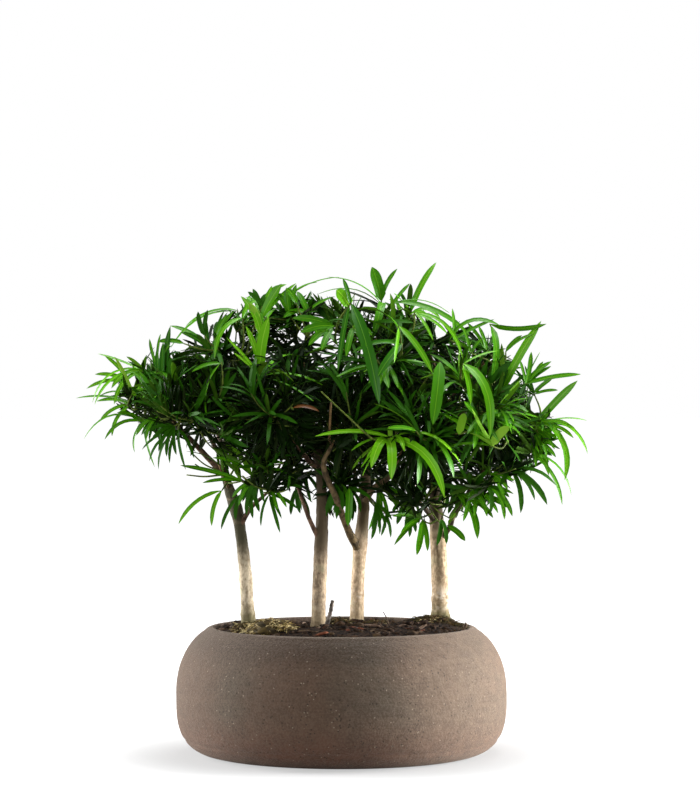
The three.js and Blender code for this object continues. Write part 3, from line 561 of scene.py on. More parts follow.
# The crown's underside and its dome, which the crowded leaves keep between, as (x, height) in the middle
# of its depth. The underside rises towards the front and the back, and the dome falls to its springing line.
UNDERSIDE = [
    (-170, 222), (-150, 216), (-136, 210), (-127, 194), (-102, 180), (-78, 168), (-66, 157), (-40, 150),
    (0, 144), (30, 138), (60, 132), (76, 140), (100, 156), (125, 172), (150, 198),
]
UNDERSIDE_RISE = 0.35
CREST = [
    (-170, 195), (-150, 215), (-139, 238), (-127, 247), (-114, 252), (-102, 252), (-90, 256), (-80, 267),
    (-64, 281), (-40, 284), (20, 284), (35, 282), (50, 277), (62, 272), (75, 270), (88, 264), (100, 251),
    (113, 237), (125, 224), (136, 198), (150, 165),
]
DOME = {"springs": 190, "depth": 112, "square": 2.6, "round": 0.85}
CROWN = {"middle": np.array([-4.0, 0, 222]), "half": np.array([165.0, 100, 85])}

# Where the sky, and where bare wood, shows through the crown from the front: circles of x, z and radius in
# the plane of the stems, as seen from this far in front of it.
EYE = {"at": np.array([5.4, 222.9]), "distance": 1763}
SKY = np.array([
    (125, 220, 5), (-92, 184, 4), (-148, 232, 4.6), (24, 158, 4.2), (107, 236, 3), (133, 227, 3.6),
    (-17, 272, 3.4), (63, 266, 3), (-68, 263, 2.8), (-85, 192, 2.6), (-60, 177, 2.6),
    (-133, 236, 2.6), (-17, 170, 2.6), (-40, 182, 2.4), (-11, 261, 2.2), (-25, 264, 2),
])
BARE_WOOD = np.array([
    (59, 164, 4.5), (59, 152, 5), (59, 140, 5), (15.5, 156, 4), (16, 147, 4), (17, 138, 4),
    (-15, 157, 4.5), (-14, 148, 4.5), (-68, 168, 4), (-66, 158, 4), (-64, 148, 4),
])
# A leaf covers them where its middle line, from this share of its length on, comes this near, in its widths.
COVERS = {"from": 0.1, "widths": 0.35}

# How light a leaf's tone is, partly by its age and partly as painted light and shade: by how far out it
# grows, how high, and by chance. Below these limits it has these tones, and above the last it is bright.
PAINTED_LIGHT = {"outside": 0.55, "height": 0.42, "chance": 0.22}
TONE_LIMITS = (("shade", 0.55), ("deep", 0.73), ("mid", 0.92), ("fresh", 1.04))

# `twist` is the turn of a blade about its own line at its tip, `early` the share of it there at its root.
Leaf = namedtuple("Leaf", "root bend tip width twist early tone")
Habit = namedtuple("Habit", "length width spacing droop reach")

# How leaves of each tone grow: small and crowded in the shade, long and arching in the light. `reach` is how
# far they may grow past their mass, as a share of its half sizes.
HABITS = {
    "shade": Habit(30, 1.9, 1.2, 0.1, 0.86),
    "deep": Habit(42, 2.4, 1.4, 0.3, 0.94),
    "mid": Habit(52, 3.1, 1.9, 0.6, 1.04),
    "fresh": Habit(56, 3.8, 2.5, 0.8, 1.1),
    "bright": Habit(54, 4.2, 3.0, 0.8, 1.1),
}
# The tone of the older leaves below a tuft, darker partly by age and partly by painted shade.
DARKER = {
    "bright": "fresh", "fresh": "mid", "mid": "deep", "deep": "shade", "shade": "shade", "dusky": "deep",
    "withered": "shade",
}

# Colours of the leaves of each tone: blade, rib and underside as sRGB, from old leaves in the shade to the
# youngest. Besides age, the tones hold painted shade and painted light, from shade, the darkest, to bright.
# Dusky ones are broad leaves darkened by painted shadow, and withered ones are brown.
TONES = {
    "shade": ((14, 34, 2), (26, 48, 6), (28, 42, 10)),
    "deep": ((38, 86, 4), (62, 110, 14), (54, 88, 14)),
    "dusky": ((40, 100, 6), (78, 136, 26), (60, 100, 20)),
    "mid": ((62, 128, 4), (98, 160, 20), (88, 136, 22)),
    "fresh": ((84, 156, 6), (124, 188, 34), (112, 164, 36)),
    "bright": ((104, 178, 12), (146, 206, 50), (134, 182, 54)),
    "withered": ((84, 48, 14), (112, 72, 30), (80, 50, 22)),
}

# ---------------------------------------------------------------- small helpers


def seeded(seed):
    """The same run of numbers from the same seed, each from 0 to 1."""
    state = seed

    def draw():
        nonlocal state
        state = (state * 16807) % 2147483647
        return state / 2147483647

    return draw


def unit(vector):
    return vector / max(np.linalg.norm(vector), 1e-9)


def smooth(share):
    share = np.clip(share, 0, 1)
    return share * share * (3 - 2 * share)


def linear(colour):
    """An sRGB colour of 0 to 255 as the linear RGBA that sockets take."""
    parts = [c / 255 for c in colour]
    return (*[c / 12.92 if c <= 0.04045 else ((c + 0.055) / 1.055) ** 2.4 for c in parts], 1)


def relief(x, y, z):
    return noise.noise(Vector((x, y, z)))


class Line:
    """A smooth line through points (a centripetal Catmull-Rom), walked by share of its length."""

    def __init__(self, points, pieces=40):
        points = [np.array(p, float) for p in points]
        before, after = 2 * points[0] - points[1], 2 * points[-1] - points[-2]
        padded = [before, *points, after]
        runs = [self.stretch(padded[i : i + 4], pieces) for i in range(len(points) - 1)]
        self.spots = np.concatenate([*runs, [points[-1]]])
        steps = np.linalg.norm(np.diff(self.spots, axis=0), axis=1)
        self.length = steps.sum()
        self.shares = np.concatenate([[0], np.cumsum(steps)]) / self.length

    @staticmethod
    def stretch(four, pieces):
        a, b, c, d = four
        first, middle, last = (max(np.linalg.norm(q - p), 1e-4) ** 0.5 for p, q in ((a, b), (b, c), (c, d)))
        start = middle * ((b - a) / first - (c - a) / (first + middle) + (c - b) / middle)
        end = middle * ((c - b) / middle - (d - b) / (middle + last) + (d - c) / last)
        t = np.linspace(0, 1, pieces, endpoint=False)[:, None]
        return b + start * t + (3 * (c - b) - 2 * start - end) * t**2 + (2 * (b - c) + start + end) * t**3

    def at(self, share):
        return np.array([np.interp(share, self.shares, self.spots[:, i]) for i in range(3)]).T

    def heading(self, share):
        return unit(self.at(min(1, share + 0.01)) - self.at(max(0, share - 0.01)))

    def share_at_height(self, height):
        return float(np.interp(height, self.spots[:, 2], self.shares))


# ---------------------------------------------------------------- meshes


def add_object(name, vertices, faces, materials, indices=None):
    """A mesh object from points in millimetres. `indices` gives each face its place in `materials`."""
    mesh = bpy.data.meshes.new(name)
    mesh.from_pydata((np.asarray(vertices) * MM).tolist(), [], [list(f) for f in faces])
    for material in materials:
        mesh.materials.append(material)
    if indices is not None:
        mesh.polygons.foreach_set("material_index", np.asarray(indices, np.int32))
    mesh.polygons.foreach_set("use_smooth", [True] * len(mesh.polygons))
    mesh.update()
    obj = bpy.data.objects.new(name, mesh)
    bpy.context.scene.collection.objects.link(obj)
    return obj


def dress(obj, slot, *nodes):
    """The piece rides on the part's one body and stands for these nodes. `slot` is not used."""
    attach(obj, "root")
    if nodes:
        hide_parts(*nodes)
    return obj


def ring_faces(rings, sides, first=0):
    """Quads between rings of points that close on themselves."""
    low = first + np.arange(rings - 1)[:, None] * sides
    here, after = np.arange(sides), (np.arange(sides) + 1) % sides
    return np.stack([low + here, low + after, low + sides + after, low + sides + here], -1).reshape(-1, 4)


def closed_faces(rings, sides):
    """The faces of rings of points in a row, with a face over each end."""
    last = (rings - 1) * sides
    faces = [list(f) for f in ring_faces(rings, sides)]
    return faces + [list(range(sides))[::-1], list(range(last, last + sides))]


def frames_along(spots):
    """Two directions across a line at each of its points, carried along it without twisting."""
    headings = np.gradient(spots, axis=0)
    headings /= np.linalg.norm(headings, axis=1)[:, None]
    across = np.array([1.0, 0, 0])
    sides = []
    for heading in headings:
        across = unit(across - heading * (across @ heading))
        sides.append(across)
    sides = np.array(sides)
    return sides, np.cross(headings, sides)


def tube(spots, radii, sides):
    """Points and faces of a closed tube. `radii` is one number per point, or one per point and side."""
    across, around = frames_along(spots)
    turn = np.arange(sides) * 2 * math.pi / sides
    radii = np.broadcast_to(np.asarray(radii, float).reshape(len(spots), -1), (len(spots), sides))
    ring = across[:, None] * np.cos(turn)[None, :, None] + around[:, None] * np.sin(turn)[None, :, None]
    points = (spots[:, None] + ring * radii[..., None]).reshape(-1, 3)
    return points, closed_faces(len(spots), sides)


class Pile:
    """Points and faces of many small things, to be joined into one mesh."""

    def __init__(self):
        self.points, self.faces, self.indices, self.count = [], [], [], 0

    def add(self, points, faces, index=0):
        self.points.append(points)
        self.faces += [[v + self.count for v in face] for face in faces]
        self.indices += [index] * len(faces)
        self.count += len(points)

    def make(self, name, *materials):
        return add_object(name, np.concatenate(self.points), self.faces, materials, self.indices)


def turned(profile, sides, wobble):
    """Points and faces of a profile of (radius, height) turned round the Z axis, closed at both ends."""
    turn = np.arange(sides) * 2 * math.pi / sides
    points = []
    for radius, height in profile:
        grown = radius + wobble(radius, height, turn)
        points.append(np.stack([grown * np.cos(turn), grown * np.sin(turn), np.full(sides, height)], -1))
    return np.concatenate(points), closed_faces(len(profile), sides)


# ---------------------------------------------------------------- materials


class Paint:
    """A Principled material whose colour is laid on in coats, and the nodes that make its patterns."""

    def __init__(self, name, colour, roughness, specular=0.5):
        self.material = bpy.data.materials.new(name)
        self.material.use_nodes = True
        self.tree = self.material.node_tree
        self.shader = self.tree.nodes["Principled BSDF"]
        self.shader.inputs["Base Color"].default_value = linear(colour)
        self.shader.inputs["Roughness"].default_value = roughness
        self.shader.inputs["Specular IOR Level"].default_value = specular
        self.place = self.tree.nodes.new("ShaderNodeTexCoord").outputs["Object"]
        self.body = colour

    def link(self, source, target):
        self.tree.links.new(source, target)

    def stretched(self, x, y, z):
        node = self.tree.nodes.new("ShaderNodeMapping")
        node.inputs["Scale"].default_value = (x, y, z)
        self.link(self.place, node.inputs["Vector"])
        return node.outputs["Vector"]

    def noise(self, scale, detail=3, stretch=(1, 1, 1), roughness=0.55):
        node = self.tree.nodes.new("ShaderNodeTexNoise")
        node.inputs["Scale"].default_value = scale
        node.inputs["Detail"].default_value = detail
        node.inputs["Roughness"].default_value = roughness
        self.link(self.stretched(*stretch), node.inputs["Vector"])
        return node.outputs["Fac"]

    def cells(self, scale):
        """How far it is to the middle of a cell, and a number by chance for each cell."""
        node = self.tree.nodes.new("ShaderNodeTexVoronoi")
        node.inputs["Scale"].default_value = scale
        self.link(self.place, node.inputs["Vector"])
        return node.outputs["Distance"], node.outputs["Color"]

    def sheen(self, weight, tint):
        """The dusty shine that a matt surface has at a low angle."""
        self.shader.inputs["Sheen Weight"].default_value = weight
        self.shader.inputs["Sheen Tint"].default_value = linear(tint)

    def place_along(self, axis):
        """Metres along one of the row's axes."""
        node = self.tree.nodes.new("ShaderNodeSeparateXYZ")
        self.link(self.place, node.inputs["Vector"])
        return node.outputs[axis]

    def height(self):
        return self.place_along("Z")

    def ramp(self, source, low, high, start=0.0, end=1.0):
        """`source` drawn out from low..high to start..end."""
        node = self.tree.nodes.new("ShaderNodeMapRange")
        node.interpolation_type = "SMOOTHSTEP"
        for socket, value in (("From Min", low), ("From Max", high), ("To Min", start), ("To Max", end)):
            node.inputs[socket].default_value = value
        self.link(source, node.inputs["Value"])
        return node.outputs["Result"]

    def times(self, first, second):
        return self.result("MULTIPLY", first, second)

    def result(self, operation, first, second):
        """Two values put together. Each is a number or comes from a node."""
        node = self.tree.nodes.new("ShaderNodeMath")
        node.operation = operation
        for socket, value in zip(node.inputs, (first, second)):
            if isinstance(value, (int, float)):
                socket.default_value = value
            else:
                self.link(value, socket)
        return node.outputs["Value"]

    def mix(self, share, first, second):
        """A colour between two, each of them sRGB or from a node."""
        node = self.tree.nodes.new("ShaderNodeMix")
        node.data_type = "RGBA"
        self.link(share, node.inputs["Factor"])
        for socket, value in ((node.inputs[6], first), (node.inputs[7], second)):
            if isinstance(value, tuple):
                socket.default_value = linear(value)
            else:
                self.link(value, socket)
        return node.outputs[2]

    def coat(self, mask, most, colour):
        """Lay a colour over those below, up to the share `most` where the mask is full."""
        self.body = self.mix(self.times(mask, most), self.body, colour)
        self.link(self.body, self.shader.inputs["Base Color"])

    def bump(self, source, strength, depth):
        node = self.tree.nodes.new("ShaderNodeBump")
        node.inputs["Strength"].default_value = strength
        node.inputs["Distance"].default_value = depth * MM
        self.link(source, node.inputs["Height"])
        previous = self.shader.inputs["Normal"].links
        if previous:
            self.link(previous[0].from_socket, node.inputs["Normal"])
        self.link(node.outputs["Normal"], self.shader.inputs["Normal"])


def stoneware_material():
    """Matt brown clay with smoky patches, throwing lines, pale grog and dark pits; painted shade darkens its
    shoulder and painted light paler its right side.
    """
    paint = Paint("stoneware", (88, 68, 54), 0.85, 0.3)
    paint.sheen(0.4, (206, 190, 174))
    smoke = paint.ramp(paint.noise(11, 3), 0.42, 0.68)
    paint.coat(smoke, 1, (78, 70, 58))
    streaks = paint.ramp(paint.noise(5, 5, (1, 1, 40), 0.7), 0.35, 0.7)
    paint.coat(streaks, 0.25, (108, 88, 72))
    # Painted shade: the colour darkens on the shoulder, which lies in the shade of the crown.
    shoulder = paint.ramp(paint.height(), 0.056, 0.075)
    paint.coat(shoulder, 0.55, (40, 31, 25))
    warm_foot = paint.ramp(paint.height(), 0.034, 0.004)
    paint.coat(warm_foot, 0.6, (100, 62, 48))
    # Painted light: the colour pales towards the right side, where the strongest lamp falls.
    painted_light_right_side = paint.ramp(paint.place_along("X"), 0.014, 0.062)
    paint.coat(painted_light_right_side, 0.34, (150, 126, 106))
    scratches = paint.ramp(paint.noise(46, 3, (1, 1, 16), 0.6), 0.56, 0.66)
    paint.coat(scratches, 0.25, (58, 44, 34))
    mottle = paint.ramp(paint.noise(160, 3), 0.4, 0.62)
    paint.coat(mottle, 0.3, (64, 50, 40))
    grit = paint.ramp(paint.noise(760, 4, roughness=0.7), 0.42, 0.66)
    paint.coat(grit, 0.14, (150, 130, 112))
    distance, kind = paint.cells(430)
    specks = paint.times(paint.ramp(distance, 0.24, 0.12), paint.ramp(kind, 0.7, 0.78))
    paint.coat(specks, 0.5, (186, 168, 146))
    distance, kind = paint.cells(460)
    pits = paint.times(paint.ramp(distance, 0.34, 0.14), paint.ramp(kind, 0.55, 0.7))
    paint.coat(pits, 0.75, (36, 28, 22))
    paint.bump(streaks, 0.25, 0.4)
    paint.bump(mottle, 0.4, 0.25)
    paint.bump(grit, 0.55, 0.4)
    paint.bump(pits, -0.7, 0.5)
    return paint.material


def soil_material():
    paint = Paint("soil", (20, 13, 9), 0.95, 0.2)
    grains = paint.noise(420, 4)
    paint.coat(paint.ramp(grains, 0.38, 0.66), 1, (66, 48, 34))
    paint.bump(grains, 0.9, 1)
    return paint.material


def grained_material(name, dark, pale):
    """A dull material that is mottled from dark to pale."""
    paint = Paint(name, dark, 0.85, 0.3)
    grain = paint.noise(240, 4)
    paint.coat(paint.ramp(grain, 0.35, 0.68), 1, pale)
    paint.bump(grain, 0.6, 0.5)
    return paint.material


def bark_material(name, pale, dark, upper, turns, foot_green, bloom):
    """Speckled bark that turns dark from a height on, partly its own colour and partly painted shade under
    the crown, with some algae and whitish bands at its foot.
    """
    paint = Paint(name, dark, 0.85, 0.25)
    speckle = paint.noise(620, 3, (1, 1, 0.6), 0.6)
    streaks = paint.noise(200, 4, (1, 1, 0.3), 0.6)
    mottle = paint.result("ADD", paint.times(speckle, 0.6), paint.times(streaks, 0.4))
    paint.coat(paint.ramp(mottle, 0.36, 0.62), 1, pale)
    lichen = paint.ramp(paint.noise(90, 3), 0.54, 0.7)
    paint.coat(lichen, 0.4, (150, 150, 118))
    algae = paint.ramp(paint.height(), 0.1, 0.082)
    paint.coat(algae, foot_green, (96, 90, 54))
    blotches = paint.ramp(paint.noise(150, 3, (0.8, 0.8, 1.3)), 0.46, 0.6)
    band = paint.times(paint.ramp(paint.height(), 0.106, 0.098), paint.ramp(paint.height(), 0.086, 0.093))
    paint.coat(paint.times(blotches, band), bloom, (226, 212, 192))
    # Partly painted shade: from this height up into the crown the bark takes the dark upper colour.
    paint.coat(paint.ramp(paint.height(), turns, turns + 0.024), 1, upper)
    rings = paint.ramp(paint.noise(120, 2, (0.25, 0.25, 1.6)), 0.56, 0.68)
    paint.coat(rings, 0.3, dark)
    paint.bump(mottle, 0.6, 0.5)
    paint.bump(rings, 0.4, 0.4)
    return paint.material


def leaf_material(name, colour, roughness, specular):
    """A plain base colour with the faint waviness of a leathery leaf."""
    paint = Paint(name, colour, roughness, specular)
    paint.bump(paint.noise(320, 2), 0.1, 0.3)
    return paint.material


# ---------------------------------------------------------------- bowl


def wall_arc(inset, reach, power, towards, steps):
    """One quarter of the wall, from the belly up or down, `inset` inside the outer face."""
    across = BOWL["belly_radius"] - BOWL["hub_radius"] - inset
    turns = [i / steps * math.pi / 2 for i in range(steps + 1)]
    return [
        (
            BOWL["hub_radius"] + across * max(math.cos(t), 0) ** (2 / power),
            BOWL["belly_height"] + towards * (reach - inset) * math.sin(t) ** (2 / power),
        )
        for t in turns
    ]


# Finger ridges, the groove near the foot, and how far the wall wavers and is dented.
THROWING = {
    "rise": 0.04, "spacing": 3.1, "groove_height": 9.5, "groove_depth": 0.55, "groove_width": 1.3,
    "groove_wander": 0.9, "waver": 0.175, "dent": 0.1, "inset": 0.3,
}


def throwing_lines(radius, height, turn):
    """How far the wall stands out or in there."""
    if radius < BOWL["mouth_radius"] + 1 or height < 0.5:
        return np.zeros_like(turn)
    ridge = THROWING["rise"] * math.sin(height / THROWING["spacing"] * 2 * math.pi)
    ridge *= 0.5 + 0.5 * relief(height * 0.13, 0, 0)
    wander = np.array([relief(math.cos(t) * 2.2, math.sin(t) * 2.2, 7) for t in turn])
    groove = THROWING["groove_height"] + THROWING["groove_wander"] * wander
    off = (height - groove) / THROWING["groove_width"]
    ridge = ridge - THROWING["groove_depth"] * np.exp(-off * off)
    waver = np.array([relief(math.cos(t) * 1.3, math.sin(t) * 1.3, height * 0.05) for t in turn])
    dents = np.array([relief(math.cos(t) * 14, math.sin(t) * 14, height * 0.16) for t in turn])
    return ridge - THROWING["inset"] + THROWING["waver"] * waver + THROWING["dent"] * dents


def bowl_outside():
    """The profile from the middle of the foot over the belly to the foot of the lip."""
    edge = BOWL["foot_radius"]
    foot = [(0.01, 0), (40, 0), (edge - 3, 0), (edge - 0.6, 0.1), (edge + 1.4, 0.6), (edge + 3.4, 1)]
    lower = [p for p in wall_arc(0, BOWL["foot_depth"], BOWL["foot_power"], -1, 60) if p[1] > 1.2]
    upper = wall_arc(0, BOWL["shoulder_height"], BOWL["shoulder_power"], 1, 90)
    upper = [p for p in upper if p[0] > BOWL["lip_radius"] + 4.6]
    return foot + lower[::-1] + upper[1:]


def bowl_lip(foot):
    """The profile of the rounded lip, from its foot on the shoulder over its top into the mouth."""
    top, mouth = BOWL["height"], BOWL["mouth_radius"]
    bend = (BOWL["lip_radius"] + 2.6, top - 0.1)
    end = (BOWL["lip_radius"], top)
    lip = [
        tuple((1 - t) ** 2 * a + 2 * t * (1 - t) * b + t * t * c for a, b, c in zip(foot, bend, end))
        for t in (0.25, 0.5, 0.75, 1)
    ]
    lip += [(mouth + 1.6, top - 0.25), (mouth + 0.6, top - 0.9)]
    return lip + [(mouth, top - 2), (mouth + 0.2, top - 4)]


def bowl_inside():
    """The profile from below the lip down the wall and over the floor, all under the soil."""
    inner = wall_arc(BOWL["wall"], BOWL["shoulder_height"], BOWL["shoulder_power"], 1, 16)
    wall = [p for p in inner if p[1] < BOWL["height"] - 7]
    return wall[::-1] + [(96, 25), (88, 12), (60, 8), (0.01, 8)]


def make_bowl():
    outside = bowl_outside()
    profile = outside + bowl_lip(outside[-1]) + bowl_inside()
    points, faces = turned(profile, 192, throwing_lines)
    dress(add_object("stoneware_bowl", points, faces, [stoneware_material()]), "stoneware", "bowl")


# ---------------------------------------------------------------- soil, moss, litter


def mound(x, y, at, rise, spread):
    return rise * math.exp(-((x - at[0]) ** 2 + (y - at[1]) ** 2) / spread**2)


def soil_height(x, y):
    """The height of the soil as in the solids."""
    edge = min(1, math.hypot(x, y) / BOWL["mouth_radius"]) ** SOIL["edge_power"]
    mounds = sum(mound(x, y, *facts) for facts in SOIL["mounds"])
    behind = SOIL["back_slope"] * max(0, y - SOIL["slope_from"])
    return SOIL["height"] - max(SOIL["edge_drop"] * edge, behind) + mounds * (1 - edge)


# The soil's crumbs and hollows: how high, how far apart, and which layer of the noise.
CRUMBLE = ((0.9, 7, 3), (0.6, 2.6, 9), (0.3, 1.2, 5))


def crumbled(x, y):
    """The soil's height with its crumbs and hollows, which end at the bowl."""
    fade = 1 - min(1, math.hypot(x, y) / BOWL["mouth_radius"]) ** 12
    crumbs = sum(high * relief(x / apart, y / apart, layer) for high, apart, layer in CRUMBLE)
    return soil_height(x, y) + crumbs * fade


def make_soil():
    """The surface of the soil in rings that are closer together near the rim, and a skirt below it."""
    sides, rings = 200, 70
    reach = BOWL["mouth_radius"] - 0.4
    skirt = 8
    turn = np.arange(sides) * 2 * math.pi / sides
    points = [(0, 0, crumbled(0, 0))]
    for i in range(1, rings + 1):
        radius = reach * (i / rings) ** 0.8
        ring = [(radius * math.cos(t), radius * math.sin(t)) for t in turn]
        points += [(x, y, crumbled(x, y)) for x, y in ring]
    points += [(reach * math.cos(t), reach * math.sin(t), SOIL["height"] - skirt) for t in turn]
    faces = [[0, 1 + i, 1 + (i + 1) % sides] for i in range(sides)]
    faces += [list(f) for f in ring_faces(rings + 1, sides, 1)]
    last = 1 + rings * sides
    faces.append([last + i for i in range(sides)][::-1])
    dress(add_object("soil_bed", np.array(points), faces, [soil_material()]), "soil", "soil")


def ball(detail):
    """Points and faces of a round ball of radius 1."""
    mesh = bpy.data.meshes.new("ball")
    work = bmesh.new()
    bmesh.ops.create_icosphere(work, subdivisions=detail, radius=1)
    work.to_mesh(mesh)
    work.free()
    points = np.array([v.co for v in mesh.vertices])
    faces = [list(p.vertices) for p in mesh.polygons]
    bpy.data.meshes.remove(mesh)
    return points, faces


def lump(seed, detail=2, rough=0.35):
    """Points and faces of a rough lump of about radius 1."""
    points, faces = ball(detail)
    large = np.array([relief(*(p * 1.4 + seed * 7.3)) for p in points])
    small = np.array([relief(*(p * 3.3 - seed * 3.1)) for p in points])
    return points * (1 + rough * large + rough * 0.5 * small)[:, None], faces


def spun(points, random):
    """Points turned some way at random."""
    a, b, c = (random() * 2 * math.pi for _ in range(3))
    turn_z = np.array([[math.cos(a), -math.sin(a), 0], [math.sin(a), math.cos(a), 0], [0, 0, 1]])
    turn_x = np.array([[1, 0, 0], [0, math.cos(b), -math.sin(b)], [0, math.sin(b), math.cos(b)]])
    turn_again = np.array([[math.cos(c), -math.sin(c), 0], [math.sin(c), math.cos(c), 0], [0, 0, 1]])
    return points @ (turn_z @ turn_x @ turn_again).T


LITTER_REACH = (BOWL["mouth_radius"] - 2.5) * 0.97


def spot_on_soil(random):
    radius = LITTER_REACH * math.sqrt(random())
    turn = random() * 2 * math.pi
    return radius * math.cos(turn), radius * math.sin(turn)


# Loose bits of soil: how many, their least size and what chance adds to it, how often they are large, their
# stretch, how high they lie by their size, and the share of dark ones.
CRUMBS = {
    "count": 560, "least": 0.5, "more": 1.5, "rarity": 2.4,
    "stretch": [1, 1, 0.75], "lift": 0.25, "dark": 0.8,
}
CLODS = {
    "count": 90, "least": 1.4, "more": 1.8, "rarity": 1,
    "stretch": [1.25, 1.1, 0.7], "lift": 0.1, "dark": 0.7,
}
LOOSE_CHIPS = 60
# Chips that show at the front: place, half length, half width, tilt, and 0 for red or 1 for pale ones.
CHIPS = [
    (-12, -70, 5.2, 1.8, 0.3, 0), (20, -34, 6, 2, -0.1, 1), (38, -30, 2.4, 1.6, 0.2, 1),
    (24, -64, 2.6, 1.4, 0.2, 1), (-76, -12, 2.4, 1.6, 0.3, 1), (12, -50, 3, 1.4, -0.2, 0),
    (50, -38, 3.4, 1.6, 0.5, 1),
]


def scatter(pile, shapes, kind, random):
    """Crumbs or clods all over the soil."""
    for i in range(kind["count"]):
        x, y = spot_on_soil(random)
        size = kind["least"] + kind["more"] * random() ** kind["rarity"]
        points, faces = shapes[i % len(shapes)]
        placed = spun(points, random) * size * kind["stretch"] + [x, y, crumbled(x, y) + kind["lift"] * size]
        pile.add(placed, faces, 0 if random() < kind["dark"] else 1)


def loose_chip(shape, random):
    """A flat chip turned some way, which lies almost level."""
    stretch = np.array([2.2 + 2.4 * random(), 1 + 0.8 * random(), 0.35 + 0.25 * random()])
    chip = spun(shape * stretch, seeded(int(1 + 1e6 * random())))
    chip[:, 2] *= 0.45
    return chip


def make_crumbs():
    """Crumbs and clods of soil, and chips of bark, all lying on the soil."""
    random = seeded(4711)
    shapes = [lump(i) for i in range(5)]
    crumbs = Pile()
    scatter(crumbs, shapes, CRUMBS, random)
    scatter(crumbs, [lump(20 + i, 3, 0.5) for i in range(4)], CLODS, random)
    brown = grained_material("brown_crumbs", (36, 25, 15), (92, 70, 44))
    dress(crumbs.make("soil_crumbs", soil_material(), brown), "soil")

    chips = Pile()
    for i in range(LOOSE_CHIPS):
        x, y = spot_on_soil(random)
        points, faces = shapes[i % len(shapes)]
        chip = loose_chip(points, random) + [x, y, crumbled(x, y) + 0.5]
        chips.add(chip, faces, 2 if random() < 0.6 else i % 2)
    for x, y, long, wide, tilt, kind in CHIPS:
        points, faces = shapes[kind]
        c, s = math.cos(tilt), math.sin(tilt)
        tilted = points * [long, wide, 0.8] @ np.array([[c, 0, s], [0, 1, 0], [-s, 0, c]])
        chips.add(tilted + [x, y, crumbled(x, y) + 1], faces, kind)
    kinds = [
        grained_material("bark_chip_red", (70, 34, 22), (136, 78, 52)),
        grained_material("bark_chip_pale", (96, 76, 62), (168, 140, 120)),
        grained_material("bark_chip_dark", (30, 20, 14), (84, 60, 42)),
    ]
    dress(chips.make("bark_chips", *kinds), "soil")


# Dry sticks on the soil and up over the rim: where they start, where they end, and how thick they are.
STICKS = [
    ((30, -34, 82), (26, -38, 91.5), 0.45),
    ((29, -35, 83), (32, -36, 87), 0.4),
    ((26, -38, 81.5), (23, -39, 85), 0.5),
    ((47, -52, 80), (52, -60, 79), 0.7),
    ((76, -16, 78), (78, -20, 83), 1.0),
    ((73, -24, 79), (76, -28, 82), 0.7),
    ((-30, -58, 80.5), (-14, -62, 81), 0.8),
    ((18, -58, 81), (30, -62, 80.6), 0.8),
    ((-70, -10, 80), (-62, -30, 81), 0.6),
    ((-44, 30, 78), (-58, 42, 77), 0.7),
]


def make_sticks():
    pile = Pile()
    for i, (start, end, girth) in enumerate(STICKS):
        start, end = np.array(start, float), np.array(end, float)
        bend = (start + end) / 2 + [1.2 * math.sin(i * 2.1), 1.2 * math.cos(i * 1.7), 0.8]
        line = Line([start, bend, end])
        shares = np.linspace(0, 1, 16)
        rough = np.array([[relief(i, share * 9, side) for side in range(7)] for share in shares])
        radii = girth * (1 - 0.4 * shares[:, None]) * (1 + 0.25 * rough)
        pile.add(*tube(line.at(shares), radii, 7))
    material = grained_material("dry_stick", (52, 38, 28), (120, 98, 78))
    dress(pile.make("dry_sticks", material), "dead_wood")


def make_dead_stub():
    """The dead stub with grooves along it and the rings of old shoots over its upper half."""
    x, y = DEAD_STUB["foot"]
    foot = np.array([x, y, soil_height(x, y) - DEAD_STUB["sunk"]])
    top = foot + [*DEAD_STUB["lean"], DEAD_STUB["height"] + DEAD_STUB["sunk"]]
    line = Line([foot, (foot + top) / 2 + [0.4, 0, 0], top])
    shares = np.linspace(0, 1, 40)
    sides = 14
    turn = np.arange(sides) * 2 * math.pi / sides
    grooves = [[relief(math.cos(t) * 1.6, math.sin(t) * 1.6, share * 3) for t in turn] for share in shares]
    rings = np.sin(shares * 40) * (shares > 0.5)
    wood = DEAD_STUB["girth"] + (DEAD_STUB["tip"] - DEAD_STUB["girth"]) * shares
    radii = (wood * (1 + 0.1 * rings))[:, None] * (1 + 0.16 * np.array(grooves))
    points, faces = tube(line.at(shares), radii, sides)
    material = grained_material("dead_wood", (52, 46, 42), (136, 124, 112))
    dress(add_object("dead_stub_wood", points, faces, [material]), "dead_wood", "dead_stub")


# Moss on the soil: place, half length, half width, height, number of strands, and share of pale ones. The
# first is the cushion of the solids.
MOSS_PATCHES = [
    (*MOSS["at"], MOSS["half_length"], MOSS["half_width"], MOSS["height"], 900, 0.5),
    (55, 2, 15, 9, 1.6, 380, 0.08),
    (70, 4, 8, 9, 1.2, 160, 0.06),
    (-2, -9, 8, 6, 2, 200, 0.04),
    (23, -8, 8, 5, 1, 120, 0.1),
    (-60, -22, 9, 7, 3, 190, 0.15),
    (-66, -36, 6, 5, 1, 80, 0.3),
    (10, 44, 13, 8, 1, 200, 0.2),
    (-48, 34, 11, 8, 1, 180, 0.3),
]
MOSS_STRAND = {
    "length": (3, 6.5), "curl": (0.8, 2.8), "girth": (0.18, 0.3), "steps": 5,
    "taper": np.array([1, 1, 0.9, 0.8, 0.6, 0.25]),
}


def between(limits, share):
    low, high = limits
    return low + (high - low) * share


def moss_strand(start, random, turn):
    """A strand that rises from the moss and curls over."""
    step = between(MOSS_STRAND["length"], random()) / MOSS_STRAND["steps"]
    heading = unit(np.array([math.cos(turn), math.sin(turn), 0.5 + random()]))
    axis = unit(np.cross(heading, [0, 0, -1]) + 0.5 * (np.array([random(), random(), random()]) - 0.5))
    angle = between(MOSS_STRAND["curl"], random()) / MOSS_STRAND["steps"]
    spots = [start]
    for _ in range(MOSS_STRAND["steps"]):
        heading = unit(heading * math.cos(angle) + np.cross(axis, heading) * math.sin(angle))
        spots.append(spots[-1] + heading * step)
    return np.array(spots)


